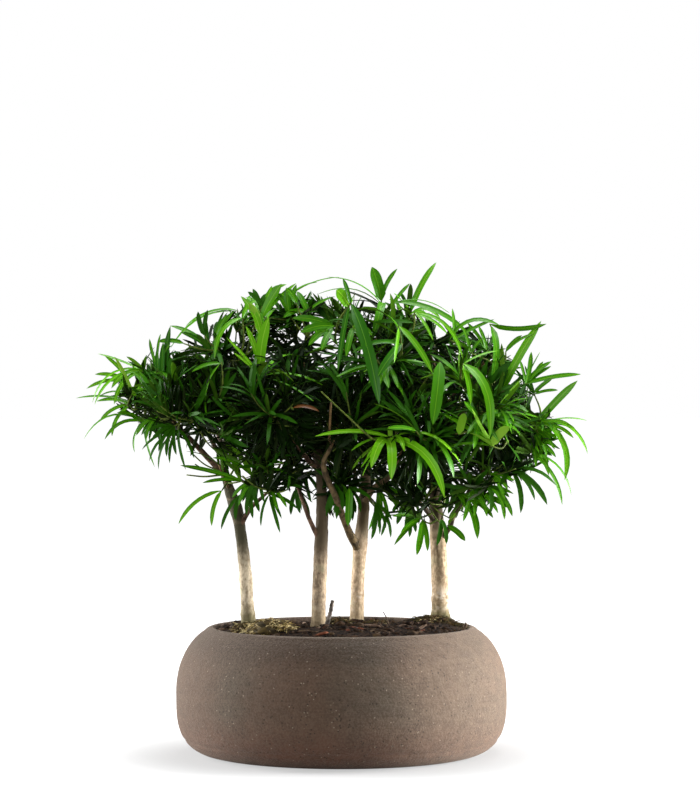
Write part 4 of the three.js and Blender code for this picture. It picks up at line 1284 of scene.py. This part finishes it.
def make_moss():
    """A cushion of curled strands over a lumpy core, and low dark patches on the soil."""
    random = seeded(977)
    x0, y0 = MOSS["at"]
    pile = Pile()
    points, faces = lump(3, 4, 0.3)
    core = points * [MOSS["half_length"] * 0.95, MOSS["half_width"] * 0.95, MOSS["height"] * 0.9]
    pile.add(core + [x0, y0, soil_height(x0, y0)], faces, 0)
    for x, y, long, wide, high, count, pale in MOSS_PATCHES:
        for _ in range(count):
            reach, turn = math.sqrt(random()), random() * 2 * math.pi
            sx, sy = x + long * reach * math.cos(turn), y + wide * reach * math.sin(turn)
            lumpy = 0.85 + 0.5 * relief(sx / 4, sy / 4, 0)
            base = soil_height(sx, sy) + high * lumpy * math.sqrt(max(0, 1 - reach * reach)) - 0.5
            spots = moss_strand(np.array([sx, sy, base]), random, random() * 2 * math.pi)
            radii = between(MOSS_STRAND["girth"], random()) * MOSS_STRAND["taper"]
            kind = 1 if random() < pale else 2 + int(random() * 2)
            pile.add(*tube(spots, radii, 4), kind)
    kinds = [
        grained_material("moss_core", (40, 32, 14), (92, 76, 36)),
        grained_material("moss_straw", (150, 126, 66), (240, 222, 168)),
        grained_material("moss_olive", (40, 38, 16), (84, 76, 36)),
        grained_material("moss_brown", (58, 40, 22), (104, 80, 46)),
    ]
    dress(pile.make("moss_strands", *kinds), "moss", "moss_cushion")


# ---------------------------------------------------------------- stems and boughs


def stem_line(stem):
    x, y = stem["line"][0]
    return Line([(x, y, soil_height(x, y) - SOIL["sunk"]), *stem["line"][1:]])


def stem_radius(stem, line, share):
    height, foot = line.at(share)[2], line.at(0)[2]
    left = min(1, (1 - share) / (1 - STEM_TAPER["from"])) ** STEM_TAPER["power"]
    wood = stem["tip"] + (stem["girth"] - stem["tip"]) * left
    flare = stem["flare"] * math.exp(-(height - foot) / FLARE_HEIGHT)
    at, girth = stem["swelling"]
    return wood + flare + girth * math.exp(-(((height - at) / SWELLING_SPREAD) ** 2))


def bough_radius(mass, share):
    return mass["girth"] * (1 - (1 - BOUGH_TAPER) * share)


def bough_line(mass):
    stem = LINES[mass["stem"]]
    start = stem.at(stem.share_at_height(mass["fork"]))
    bends = [np.array(p, float) for p in mass.get("via", [])]
    last = bends[-1] if bends else start
    end = last + (mass["middle"] - last) * BOUGH_REACH
    if not bends:
        bends.append((start + end) / 2 - [0, 0, BOUGH_SAG * np.linalg.norm(end - start)])
    return Line([start, *bends, end])


# The relief of bark: heights of streaks, knobs and scars, how far apart scars are and how rare, and over
# what length the root ridges and the collar of a bough die out.
BARK = {
    "streak": 0.256, "knob": 0.224, "scar": 0.66, "scar_run": 5.5, "rare": 0.12,
    "root": 0.55, "root_run": 4.5, "collar": 0.7, "collar_run": 3.5,
    "ring_step": 0.9, "fewest_rings": 12, "stem_sides": 40, "bough_sides": 16,
}
# Root ridges at the foot of each stem.
RIDGES = {"trunk_1": 5, "trunk_2": 4, "trunk_3": 5, "trunk_4": 6}


def bark_limb(line, radius_at, sides, seed, ridges=0, collar=0):
    """A limb with upright streaks, knobs and the rings of old leaf scars.

    `ridges` is the number of root ridges at its foot, and `collar` how far it widens where it leaves a stem.
    """
    rings = max(BARK["fewest_rings"], int(line.length / BARK["ring_step"]))
    shares = np.linspace(0, 1, rings)
    spots = line.at(shares)
    turn = np.arange(sides) * 2 * math.pi / sides
    radii = np.empty((rings, sides))
    for i, share in enumerate(shares):
        run = share * line.length
        radius = radius_at(share)
        fine = min(1, radius / 3)
        scar = BARK["scar"] * max(0, relief(seed, run / BARK["scar_run"], 0) - BARK["rare"])
        foot = BARK["root"] * math.exp(-run / BARK["root_run"]) if ridges else 0
        spread = collar * math.exp(-run / BARK["collar_run"])
        for j, t in enumerate(turn):
            c, s = math.cos(t), math.sin(t)
            streak = BARK["streak"] * relief(c * 2.6 + seed, s * 2.6, run / 11)
            knob = BARK["knob"] * relief(c * 1.5, s * 1.5 + seed, run / 3)
            root = foot * (0.4 + math.cos(ridges * t + seed))
            radii[i, j] = radius + fine * (streak + knob + scar) + root + spread
    return tube(spots, radii, sides)


# Bark of each stem: pale, dark and upper colour, height at which it turns dark, shares of algae and bloom.
# The upper colour is partly the bark's own and partly painted shade under the crown.
BARKS = {
    "trunk_1": ((216, 200, 172), (150, 132, 106), (70, 66, 48), 0.112, 0.85, 0.15),
    "trunk_2": ((184, 162, 134), (116, 98, 78), (78, 66, 48), 0.112, 0.4, 0.15),
    "trunk_3": ((222, 196, 164), (160, 136, 108), (88, 74, 52), 0.122, 0.45, 0.5),
    "trunk_4": ((198, 174, 142), (132, 112, 86), (66, 56, 36), 0.13, 0.9, 0.6),
}
# Bark of the boughs of each stem: dark and pale, both partly the boughs' own darker bark and partly painted
# shade under the crown.
BOUGH_BARKS = {
    "trunk_1": ((64, 46, 34), (118, 92, 72)),
    "trunk_2": ((66, 46, 34), (124, 96, 76)),
    "trunk_3": ((66, 54, 36), (120, 100, 68)),
    "trunk_4": ((46, 38, 24), (88, 72, 48)),
}


def make_stem(index, name):
    """Bark with real relief in place of a stem."""
    line, stem = LINES[name], STEMS[name]
    radius_at = partial(stem_radius, stem, line)
    points, faces = bark_limb(line, radius_at, BARK["stem_sides"], 3.7 * index, RIDGES[name])
    material = bark_material("bark_of_" + name, *BARKS[name])
    dress(add_object("bark_" + name, points, faces, [material]), "bark", name)


def make_boughs(index, name):
    """The boughs that a stem bears."""
    pile = Pile()
    borne = [mass for mass in MASS_LIST if mass["stem"] == name and "girth" in mass]
    for number, mass in enumerate(borne):
        seed = 11.3 * index + 5.1 * number
        radius_at = partial(bough_radius, mass)
        pile.add(*bark_limb(mass["bough"], radius_at, BARK["bough_sides"], seed, collar=BARK["collar"]))
    material = grained_material("bark_of_boughs_" + name[-1], *BOUGH_BARKS[name])
    boughs = pile.make("bark_boughs_" + name[-1], material)
    dress(boughs, "bark", *["bough_" + mass["name"] for mass in borne])


# ---------------------------------------------------------------- foliage


def room_at(mass, point):
    """How far a point lies inside the space of a mass, which ends between it and its neighbours."""
    own = ((point - mass["middle"]) ** 2).sum() - mass["size"] ** 2
    theirs = ((point - CENTRES) ** 2).sum(1) - SIZES**2
    apart = np.linalg.norm(CENTRES - mass["middle"], axis=1)
    others = apart > 0
    return ((theirs[others] - own) / (2 * apart[others])).min()


def inside_half_sizes(mass, point, grown=1.0, flat_top=1.0):
    away = (point - mass["middle"]) / (mass["half"] * grown)
    if away[2] > 0:
        away[2] /= flat_top
    return (away**2).sum() <= 1


def underside(point):
    """The height of the crown's underside there."""
    return np.interp(point[0], *zip(*UNDERSIDE)) + UNDERSIDE_RISE * abs(point[1])


def crest(point):
    """The height of the dome over the crowded leaves there."""
    highest = np.interp(point[0], *zip(*CREST))
    deep = max(0, 1 - (abs(point[1]) / DOME["depth"]) ** DOME["square"]) ** DOME["round"]
    return min(highest, DOME["springs"] + (highest - DOME["springs"]) * deep)


def clear_of_limbs(spots):
    """True if none of these points lies in or just off a stem or bough."""
    gaps = np.linalg.norm(spots[:, None] - LIMB_SPOTS[None], axis=2) - LIMB_RADII[None]
    return gaps.min() > LIMB_CLEARANCE


def mass_stem(mass):
    """The line of a mass's own stem, from the tip of its bough or its trunk to a little past its middle."""
    on_side = "girth" not in mass and "fork" in mass
    bearer = mass["bough"] if "girth" in mass else LINES[mass["stem"]]
    heading = bearer.heading(1)
    start = bearer.at(bearer.share_at_height(mass["fork"])) if on_side else bearer.at(1)
    end = mass["middle"] + (mass["middle"] - start) * STEM_OVERRUN
    if on_side:
        return Line([start, end])
    way = end - start
    bend = start + way * STEM_BEND["at"] + heading * STEM_BEND["carry"] * np.linalg.norm(way)
    return Line([start, bend, end])


def shoot_heading(mass, index, count, random):
    """Shoots fan out from steep to drooping ones in golden-angle turns, all of them a little outward."""
    rise = 1 - SHOOT["fan"] * (index + 0.5) / count
    flat = math.sqrt(1 - rise * rise)
    turn = index * GOLDEN_ANGLE + random() * SHOOT["turn_slack"]
    outward = unit(mass["middle"] * [1, 1, 0])
    upward = SHOOT["steep"] * rise + SHOOT["upward"]
    heading = np.array([flat * math.cos(turn), flat * math.sin(turn), upward])
    return unit(heading + outward * SHOOT["outward"])


def grow_shoots(mass, stem, random):
    """The shoots of the source's rule: the end of the stem and a few more that stand round it."""
    shoots = [Line([stem.at(share) for share in SHOOT["end"]])]
    count = mass.get("shoots", SHOOT["count"])
    for i in range(count):
        start = stem.at(SHOOT["first"] + (SHOOT["last"] - SHOOT["first"]) * i / count)
        heading = shoot_heading(mass, i, count, random)
        reach = SHOOT["longest"]
        while reach > SHOOT["shortest"]:
            end = start + heading * mass["size"] * reach
            inside = room_at(mass, end) > 0 and end[2] < crest(end) - UNDER_CREST
            outer_part = np.linspace(start, end, 9)[3:]
            if inside and clear_of_limbs(outer_part):
                bow = (start + end) / 2 - [0, 0, SHOOT["sag"] * mass["size"] * reach]
                shoots.append(Line([start, bow, end]))
                break
            reach -= SHOOT["shorter"]
    return shoots


def sideways(axis, near_up, turn):
    """The direction square to a twig that is turned this far round it."""
    across = unit(np.cross(axis, near_up))
    around = np.cross(axis, across)
    return across * math.cos(turn) + around * math.sin(turn)


def grow_fine_twigs(mass, shoots, random):
    """Side twigs on each shoot, which lean away from it and turn up towards the light."""
    twigs = []
    for shoot in shoots:
        for i, place in enumerate(FINE["places"]):
            start, axis = shoot.at(place), shoot.heading(place)
            turn = i * GOLDEN_ANGLE + random() * 2 * math.pi
            side = sideways(axis, TWIG_UP, turn)
            heading = unit(axis * math.cos(FINE["lean"]) + side * math.sin(FINE["lean"]))
            length = FINE["length"] + FINE["length_slack"] * random()
            bend = start + heading * length * 0.5
            end = start + unit(heading + [0, 0, FINE["lift"]]) * length
            inside = room_at(mass, end) > 0 and inside_half_sizes(mass, end)
            inside = inside and underside(end) < end[2] < crest(end) - UNDER_CREST
            if inside and clear_of_limbs(np.stack([bend, end])):
                twigs.append(Line([start, bend, end]))
    return twigs


def bezier(root, bend, tip, shares):
    """Points at these shares of a leaf's middle line."""
    t = np.asarray(shares)[:, None]
    return (1 - t) ** 2 * root + 2 * t * (1 - t) * bend + t**2 * tip


def leaf_on_shoot(mass, shoot, age, turn, tone, random):
    """A leaf that leaves its shoot at an angle that grows with its age, and arches over under its weight."""
    habit = HABITS[tone]
    place = LEAF["last"] - (1 - LEAF["bare"]) * age
    root, axis = shoot.at(place), shoot.heading(place)
    spread = LEAF["young_spread"] + (LEAF["old_spread"] - LEAF["young_spread"]) * age
    spread += LEAF["spread_slack"] * (random() - 0.3)
    side = sideways(axis, LEAF_UP, turn)
    heading = axis * math.cos(spread) + side * math.sin(spread)
    droop = habit.droop + LEAF["droop_slack"] * (random() - 0.4)
    stray = LEAF["stray"] * (np.array([random(), random(), random()]) - 0.5)
    fall = unit(heading + side * LEAF["sideways"] + np.array([0, 0, -1]) * droop + stray)
    grown = LEAF["youngest"] + LEAF["growth"] * min(1, age * 3)
    length = habit.length * (1 + LEAF["length_slack"] * (2 * random() - 1)) * grown
    width = habit.width * (1 + LEAF["width_slack"] * (2 * random() - 1))
    twist = LEAF["twist_slack"] * (random() - 0.5)
    reach = habit.reach + LEAF_ROOM["reach_slack"] * random() ** 2
    shortest = length * LEAF["shortest"]
    while length > shortest:
        bend = root + heading * length * LEAF["bend"]
        tip = bend + fall * length * LEAF["beyond_bend"]
        spots = bezier(root, bend, tip, LEAF_TESTS)
        below = spots[:, 2].max() < crest(tip) + LEAF_ROOM["over_crest"] * random() ** 3
        above = tip[2] > underside(tip) + LEAF_ROOM["over_underside"] * random()
        within = inside_half_sizes(mass, tip, reach, LEAF_ROOM["flat_top"])
        if within and room_at(mass, tip) > LEAF_ROOM["space"] and below and above:
            leaf = Leaf(root, bend, tip, width, twist, LEAF["early"], tone)
            return leaf if clear_of_limbs(spots) else None
        length *= LEAF["shorter"]
    return None


def hides(leaf):
    """Whether a leaf would cover what shows through the crown from the front."""
    line = bezier(leaf.root, leaf.bend, leaf.tip, np.linspace(COVERS["from"], 1, 8))
    ahead = EYE["distance"] + line[:, 1:2]
    seen = EYE["at"] + (line[:, [0, 2]] - EYE["at"]) * EYE["distance"] / ahead
    for circles, before in ((SKY, math.inf), (BARE_WOOD, 0)):
        apart = np.linalg.norm(seen[:, None] - circles[:, :2], axis=2) - circles[:, 2]
        if np.any((apart.min(axis=1) < COVERS["widths"] * leaf.width) & (line[:, 1] < before)):
            return True
    return False


def leafy(mass, shoot, tone, random, offset, share=1.0):
    """Leaves in a spiral round a shoot: a tuft of its own tone at its tip, older ones below, darker by age
    and by painted shade.
    """
    old = DARKER[tone]
    tuft = max(TUFT["fewest"], round(TUFT["length"] / HABITS[tone].spacing * share))
    below = round(shoot.length * (1 - LEAF["bare"] - TUFT["age"]) / HABITS[old].spacing * share)
    ages = [(TUFT["age"] * i / tuft, tone) for i in range(tuft)]
    ages += [(TUFT["age"] + (1 - TUFT["age"]) * i / below, old) for i in range(below)]
    leaves = []
    for i, (age, kind) in enumerate(ages):
        for attempt in range(LEAF["tries"]):
            step = i + offset + LEAF["next_try"] * attempt
            turn = step * GOLDEN_ANGLE + random() * LEAF["turn_slack"]
            leaf = leaf_on_shoot(mass, shoot, age, turn, kind, random)
            if leaf:
                if not hides(leaf):
                    leaves.append(leaf)
                break
    return leaves


def tone_at(point, random, painted_shade=0):
    """Darker tones inside and below, lighter at the top and the outside: partly old and young leaves, partly
    painted shade and painted light.
    """
    away = (point - CROWN["middle"]) / CROWN["half"]
    light = PAINTED_LIGHT["outside"] * np.linalg.norm(away) + PAINTED_LIGHT["height"] * (0.5 + 0.5 * away[2])
    light = light + PAINTED_LIGHT["chance"] * (random() - 0.5) - painted_shade
    for tone, most in TONE_LIMITS:
        if light < most:
            return tone
    return "bright"


def arched_leaf(root, tip, width, rise, facing, tone):
    """A leaf between two given points: its arch rises across the way between them."""
    along = tip - root
    length = np.linalg.norm(along)
    outward = unit((root - CROWN["middle"]) * [1, 1, 0])
    up = np.array([0, 0, 1.0]) + ARCH["outward"] * outward
    up = unit(up - along * (up @ along) / length**2)
    bend = root + along * ARCH["bend"] + up * rise * length * ARCH["rise"]
    front = np.array([0, -1.0, 0])
    side = unit(np.cross(bend - root, tip - bend))
    full_face = math.atan2(-(side @ front), up @ front)
    if abs(full_face) > ARCH["most_turn"]:
        full_face -= math.copysign(math.pi, full_face)
    twist = full_face - math.copysign((1 - facing) * math.pi / 2, full_face)
    return Leaf(root, bend, tip, width, twist, ARCH["early"], tone)


def nearest_on(lines, point):
    """The line that a leaf or twig to this point grows from, and the share of its length."""
    spots = []
    for number, line in enumerate(lines):
        spots += [(np.linalg.norm(line.at(share) - point), number, share) for share in BEARING_SHARES]
    _, number, share = min(spots)
    return lines[number], share


def grow_spray(mass, shoots, spray, random):
    """A tuft in a given place: a twig to its foot from the nearest shoot, its own leaves, and a few more."""
    tone, foot, leaves = spray
    foot = np.array(foot, float)
    bearer, share = nearest_on(shoots, foot - [0, 0, SPRAY["from_below"]])
    start = bearer.at(share)
    carry = bearer.heading(share) * SPRAY["carry"] * np.linalg.norm(foot - start)
    bend = (start + foot) / 2 + carry - [0, 0, SPRAY["sag"]]
    twig = Line([start, bend, foot])
    grown = []
    for i, (*tip, width, rise, facing) in enumerate(leaves):
        root = twig.at(1 - SPRAY["spacing"] * i)
        grown.append(arched_leaf(root, np.array(tip, float), width, rise, facing, tone))
    outer_half = Line([twig.at(0.5), twig.at(0.75), twig.at(1)])
    grown += leafy(mass, outer_half, DARKER[tone], random, SPRAY["first_leaf"], SPRAY["own"])
    return twig, grown


def grow_tip_leaves(mass, sprays, shoots, random):
    """Leaves that reach the outline of the solids where no spray does."""
    leaves = []
    reached = [leaf[:3] for spray in sprays for leaf in spray[2]]
    for tip in mass.get("tips", []):
        if any(math.hypot(tip[0] - x, tip[2] - z) < TIP_LEAF["apart"] for x, _, z in reached):
            continue
        tip = np.array(tip, float)
        bearer, share = nearest_on(shoots, tip)
        root = bearer.at(share)
        if np.linalg.norm(tip - root) < TIP_LEAF["longest"]:
            looks = (TIP_LEAF[k] for k in ("width", "rise", "facing"))
            leaves.append(arched_leaf(root, tip, *looks, tone_at(tip, random)))
    return leaves


def grow_mass(mass):
    """(twigs, leaves) of a mass. A twig is (line, radius at its foot, radius at its tip)."""
    random = seeded(mass["seed"])
    sprays = SPRAYS.get(mass["name"], [])
    stem = mass_stem(mass)
    shoots = grow_shoots(mass, stem, random)
    fine = grow_fine_twigs(mass, shoots, random)
    first = mass["girth"] * BOUGH_TAPER if "girth" in mass else TWIG["stem"]
    twigs = [(stem, first, TWIG["shoot"])]
    twigs += [(shoot, TWIG["shoot"], TWIG["tip"]) for shoot in shoots[1:]]
    twigs += [(twig, TWIG["fine"], TWIG["tip"]) for twig in fine]
    leaves = []
    for i, shoot in enumerate(shoots + fine):
        tone = tone_at(shoot.at(1), random, mass.get("painted_shade", 0))
        leaves += leafy(mass, shoot, tone, random, 2 * i, mass.get("lush", 1))
    leaves += grow_tip_leaves(mass, sprays, shoots + fine, random)
    for spray in sprays:
        twig, grown = grow_spray(mass, [stem, *shoots, *fine], spray, random)
        twigs.append((twig, TWIG["shoot"], TWIG["tip"]))
        leaves += grown
    return twigs, leaves


# Rows along a blade and the points of its section. Leaves that show have a rib and a gutter on each side of
# it; those in the shade of the crown are folded once.
FULL = {
    "rows": np.array([0.03, 0.09, 0.18, 0.3, 0.43, 0.56, 0.68, 0.79, 0.885, 0.955]),
    "kinds": [0, 0, 1, 1, 0, 0, 2, 2],
}
PLAIN = {"rows": np.array([0.04, 0.15, 0.3, 0.46, 0.62, 0.77, 0.9]), "kinds": [0, 0, 2, 2]}
SHAPE_OF = {"shade": PLAIN, "deep": PLAIN}
# A blade opens from the width of its stalk to its full width and closes to its tip over these shares of its
# length. Its sides are folded up, less so towards the tip.
BLADE = {"stalk": 0.24, "opens": 0.2, "closes": 0.62, "sharpness": 2.8, "fold": 0.36, "flattens": 0.2}
# The rib and the thickness in millimetres, and the rib's share of a narrow blade's half width.
RIB = {"half": 0.22, "most": 0.4, "rise": 0.12}
THICKNESS = 0.25


def leaf_profile(shares):
    """Half width of a blade as a share of its widest: a short stalk, long parallel sides, a sharp tip."""
    opening = BLADE["stalk"] + (1 - BLADE["stalk"]) * smooth(shares / BLADE["opens"])
    left = (shares - BLADE["closes"]) / (1 - BLADE["closes"])
    return opening * (1 - np.clip(left, 0, 1) ** BLADE["sharpness"])


def leaf_section(shape, half, fold):
    """How far each point of a blade's section lies to the side of its middle line, and above it."""
    level = 0 * half
    top, bottom = (level, level + RIB["rise"]), (level, level - THICKNESS)
    if shape is PLAIN:
        return [(-half, fold * half), top, (half, fold * half), bottom]
    rib = np.minimum(RIB["half"], RIB["most"] * half)
    edge, gutter = fold * half * 0.8, fold * half * 0.55
    return [
        (-half, edge), (-0.55 * half, gutter), (-rib, level), top,
        (rib, level), (0.55 * half, gutter), (half, edge), bottom,
    ]


def leaf_points(leaves, shape):
    """All points of many leaves as (leaf, point, 3): rows along each blade, then its root and its tip."""
    rows = shape["rows"]
    root, bend, tip = (np.array([getattr(leaf, k) for leaf in leaves]) for k in ("root", "bend", "tip"))
    width = np.array([leaf.width for leaf in leaves])[:, None]
    twist = np.array([leaf.twist for leaf in leaves])[:, None]
    t = rows[None, :, None]
    root, bend, tip = root[:, None], bend[:, None], tip[:, None]
    middle = (1 - t) ** 2 * root + 2 * t * (1 - t) * bend + t**2 * tip
    heading = (1 - t) * (bend - root) + t * (tip - bend)
    heading /= np.linalg.norm(heading, axis=2, keepdims=True)
    side = np.cross(bend - root, tip - bend)
    side /= np.maximum(np.linalg.norm(side, axis=2, keepdims=True), 1e-9)
    up = np.cross(heading, side)
    early = np.array([leaf.early for leaf in leaves])[:, None]
    angle = (twist * (early + (1 - early) * rows[None]))[..., None]
    side, up = side * np.cos(angle) + up * np.sin(angle), up * np.cos(angle) - side * np.sin(angle)
    half = 0.5 * width * leaf_profile(rows)[None]
    section = leaf_section(shape, half, BLADE["fold"] - BLADE["flattens"] * rows[None])
    columns = [middle + side * over[..., None] + up * rise[..., None] for over, rise in section]
    grid = np.stack(columns, axis=2)
    return np.concatenate([grid.reshape(len(leaves), -1, 3), root, tip], axis=1)


def leaf_faces(shape):
    """(faces, materials) of one leaf: 0 is the blade, 1 its rib and 2 the underside."""
    rows, columns = len(shape["rows"]), len(shape["kinds"])
    root, tip, last = rows * columns, rows * columns + 1, (rows - 1) * columns
    faces, materials = [], []
    for a, kind in enumerate(shape["kinds"]):
        b = (a + 1) % columns
        faces += [[root, b, a], [last + a, last + b, tip]]
        for low in range(0, last, columns):
            high = low + columns
            faces.append([low + a, low + b, high + b, high + a])
        materials += [kind] * (rows + 1)
    return faces, materials


# Roughness and specular level of leaves in the shade, of those in the light, and of all undersides.
SHADE_GLOSS = (0.55, 0.08)
LIGHT_GLOSS = (0.4, 0.16)
UNDER_GLOSS = (0.7, 0.08)
LEAVES_IN_PIECE = 2600


def join_leaves(name, leaves, shape, materials):
    """Leaves of one tone as one mesh."""
    faces, kinds = leaf_faces(shape)
    points = leaf_points(leaves, shape)
    each = points.shape[1]
    shifted = [[v + each * i for v in face] for i in range(len(leaves)) for face in faces]
    obj = add_object(name, points.reshape(-1, 3), shifted, materials, kinds * len(leaves))
    obj.data.set_sharp_from_angle(angle=math.radians(70))
    dress(obj, "foliage", *FOLIAGE_NODES)


def make_leaves(leaves):
    """All leaves, by tone, in pieces that aren't too large."""
    for tone, (blade, rib, below) in TONES.items():
        shape = SHAPE_OF.get(tone, FULL)
        gloss = LIGHT_GLOSS if shape is FULL else SHADE_GLOSS
        materials = [
            leaf_material("leaf_" + tone, blade, *gloss),
            leaf_material("leaf_rib_" + tone, rib, *gloss),
            leaf_material("leaf_under_" + tone, below, *UNDER_GLOSS),
        ]
        chosen = [leaf for leaf in leaves if leaf.tone == tone]
        for first in range(0, len(chosen), LEAVES_IN_PIECE):
            name = f"leaves_{tone}_{first // LEAVES_IN_PIECE + 1}"
            join_leaves(name, chosen[first : first + LEAVES_IN_PIECE], shape, materials)


def make_twigs(twigs):
    """Brown twigs, and the green young ends that bear the leaves."""
    brown, green = Pile(), Pile()
    for number, (line, foot, tip) in enumerate(twigs):
        steps = max(5, int(line.length / TWIG["step"]))
        shares = np.linspace(0, 1, steps + 1)
        spots = line.at(shares)
        bumps = np.array([TWIG["bumps"] * relief(number, s * line.length / 2, 0) for s in shares])
        radii = (foot + (tip - foot) * shares) * (1 + bumps)
        pile = brown if foot > TWIG["shoot"] else green
        pile.add(*tube(spots, radii, TWIG["sides"]))
    bark = grained_material("twig_bark", (60, 44, 26), (120, 94, 58))
    young = grained_material("young_twig", (62, 76, 20), (104, 122, 40))
    dress(brown.make("woody_twigs", bark), "bark", *FOLIAGE_NODES)
    dress(green.make("green_twigs", young), "foliage", *FOLIAGE_NODES)


# ---------------------------------------------------------------- studio

# In metres, and the lens and the sensor in millimetres.
CAMERA = {"location": (0.0054, -1.763, 0.2229), "lens": 125.1, "sensor": 36}


def make_camera():
    data = bpy.data.cameras.new("camera")
    data.lens = CAMERA["lens"]
    data.sensor_width = CAMERA["sensor"]
    camera = bpy.data.objects.new("camera", data)
    camera.location = CAMERA["location"]
    camera.rotation_euler = (math.radians(90), 0, 0)
    bpy.context.scene.collection.objects.link(camera)
    bpy.context.scene.camera = camera


# In metres: half the side of the ground, how far it lies below the bowl, and where its glow starts and ends,
# with its strength there. The weaker glow near the bowl paints a shadow round it.
FLOOR = {"reach": 30, "below": 0.0004, "near": 0.098, "far": 0.2, "painted_shadow_glow": 0.5, "glow_far": 1.0}


def make_floor():
    """A white ground that fades into the white round it and takes a soft shadow near the bowl, partly cast
    by the lamps and partly painted shadow where its glow is weaker.
    """
    reach = FLOOR["reach"]
    corners = [(-reach, -reach), (reach, -reach), (reach, reach), (-reach, reach)]
    mesh = bpy.data.meshes.new("floor")
    mesh.from_pydata([(x, y, -FLOOR["below"]) for x, y in corners], [], [(0, 1, 2, 3)])
    paint = Paint("floor", (150, 150, 150), 0.9, 0.1)
    away = paint.tree.nodes.new("ShaderNodeVectorMath")
    away.operation = "LENGTH"
    paint.link(paint.place, away.inputs[0])
    facts = [FLOOR[k] for k in ("near", "far", "painted_shadow_glow", "glow_far")]
    # Painted shadow: the glow that the camera sees is weaker near the bowl, so the ground darkens round it.
    glow = paint.ramp(away.outputs["Value"], *facts)
    path = paint.tree.nodes.new("ShaderNodeLightPath")
    paint.shader.inputs["Emission Color"].default_value = (1, 1, 1, 1)
    seen = paint.times(glow, path.outputs["Is Camera Ray"])
    paint.link(seen, paint.shader.inputs["Emission Strength"])
    mesh.materials.append(paint.material)
    floor = bpy.data.objects.new("floor", mesh)
    bpy.context.scene.collection.objects.link(floor)


# Soft boxes: place and size in metres, and power in watts.
SOFT_BOXES = {
    "above": ((0.1, 0.2, 1.45), 0.8, 22),
    "front": ((-0.5, -1.9, 0.55), 0.5, 15),
    "right": ((1.38, 0.16, 0.2), 0.8, 84),
    "left": ((-1.25, 0.42, 0.3), 0.8, 38),
}
LIT_PLACE = Vector((0, 0, 0.17))
WORLD_LIGHT = 0.175


def make_soft_boxes():
    for name, (place, size, power) in SOFT_BOXES.items():
        data = bpy.data.lights.new(name, "AREA")
        data.shape = "SQUARE"
        data.size = size
        data.energy = power
        light = bpy.data.objects.new(name, data)
        light.location = place
        light.rotation_euler = (LIT_PLACE - Vector(place)).to_track_quat("-Z", "Y").to_euler()
        light.visible_camera = False
        bpy.context.scene.collection.objects.link(light)


def make_world():
    """A room that gives a little even light and looks white."""
    world = bpy.data.worlds.new("studio")
    world.use_nodes = True
    tree = world.node_tree
    light = tree.nodes["Background"]
    light.inputs["Color"].default_value = (1, 1, 1, 1)
    light.inputs["Strength"].default_value = WORLD_LIGHT
    seen = tree.nodes.new("ShaderNodeBackground")
    seen.inputs["Color"].default_value = (1, 1, 1, 1)
    seen.inputs["Strength"].default_value = 1.0
    path = tree.nodes.new("ShaderNodeLightPath")
    mix = tree.nodes.new("ShaderNodeMixShader")
    tree.links.new(path.outputs["Is Camera Ray"], mix.inputs["Fac"])
    tree.links.new(light.outputs[0], mix.inputs[1])
    tree.links.new(seen.outputs[0], mix.inputs[2])
    tree.links.new(mix.outputs[0], tree.nodes["World Output"].inputs["Surface"])
    bpy.context.scene.world = world
    bpy.context.scene.view_settings.view_transform = "Standard"


# ---------------------------------------------------------------- assembly

# Each mass draws from its own run of numbers, as in the solids.
SEEDS = {"first": 101, "step": 37}
# Points along each stem and bough that leaves and twigs keep clear of. The outer end of a bough bears some.
STEM_TESTS, BOUGH_TESTS, BOUGH_TESTED = 60, 16, 0.9


def prepared_masses():
    """The masses with their names, seeds, mean half sizes and the lines of their boughs."""
    masses = []
    for order, (name, facts) in enumerate(MASSES.items()):
        mass = {**facts, "name": name, "seed": SEEDS["first"] + SEEDS["step"] * order}
        mass["middle"] = np.array(facts["middle"], float)
        mass["half"] = np.array(facts["half"], float)
        mass["size"] = mass["half"].mean()
        if "girth" in facts:
            mass["bough"] = bough_line(mass)
        masses.append(mass)
    return masses


def limb_points():
    """Points along all stems and boughs, and the radius at each."""
    spots, radii = [], []
    for name, stem in STEMS.items():
        for share in np.linspace(0, 1, STEM_TESTS):
            spots.append(LINES[name].at(share))
            radii.append(stem_radius(stem, LINES[name], share))
    for mass in MASS_LIST:
        if "bough" in mass:
            for share in np.linspace(0, BOUGH_TESTED, BOUGH_TESTS):
                spots.append(mass["bough"].at(share))
                radii.append(bough_radius(mass, share))
    return np.array(spots), np.array(radii)


def make_foliage():
    """The twigs and leaves of all masses."""
    twigs, leaves = [], []
    for mass in MASS_LIST:
        new_twigs, new_leaves = grow_mass(mass)
        twigs += new_twigs
        leaves += new_leaves
    twigs += [(Line(line), foot, tip) for line, foot, tip in SHOWN_SHOOTS]
    make_twigs(twigs)
    make_leaves(leaves)


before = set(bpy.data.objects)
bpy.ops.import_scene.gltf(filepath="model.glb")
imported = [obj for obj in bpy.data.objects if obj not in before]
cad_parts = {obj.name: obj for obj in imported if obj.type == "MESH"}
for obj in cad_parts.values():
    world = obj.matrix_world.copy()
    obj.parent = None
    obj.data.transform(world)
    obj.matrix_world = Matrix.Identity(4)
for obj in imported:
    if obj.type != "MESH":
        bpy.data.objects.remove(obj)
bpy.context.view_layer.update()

LINES = {name: stem_line(stem) for name, stem in STEMS.items()}
MASS_LIST = prepared_masses()
CENTRES = np.array([mass["middle"] for mass in MASS_LIST])
SIZES = np.array([mass["size"] for mass in MASS_LIST])
FOLIAGE_NODES = ["foliage_" + name for name in MASSES]
LIMB_SPOTS, LIMB_RADII = limb_points()

make_camera()
make_floor()
make_soft_boxes()
make_world()
make_bowl()
make_soil()
make_crumbs()
make_sticks()
make_dead_stub()
make_moss()
for stem_order, stem_name in enumerate(STEMS):
    make_stem(stem_order, stem_name)
    make_boughs(stem_order, stem_name)
make_foliage()
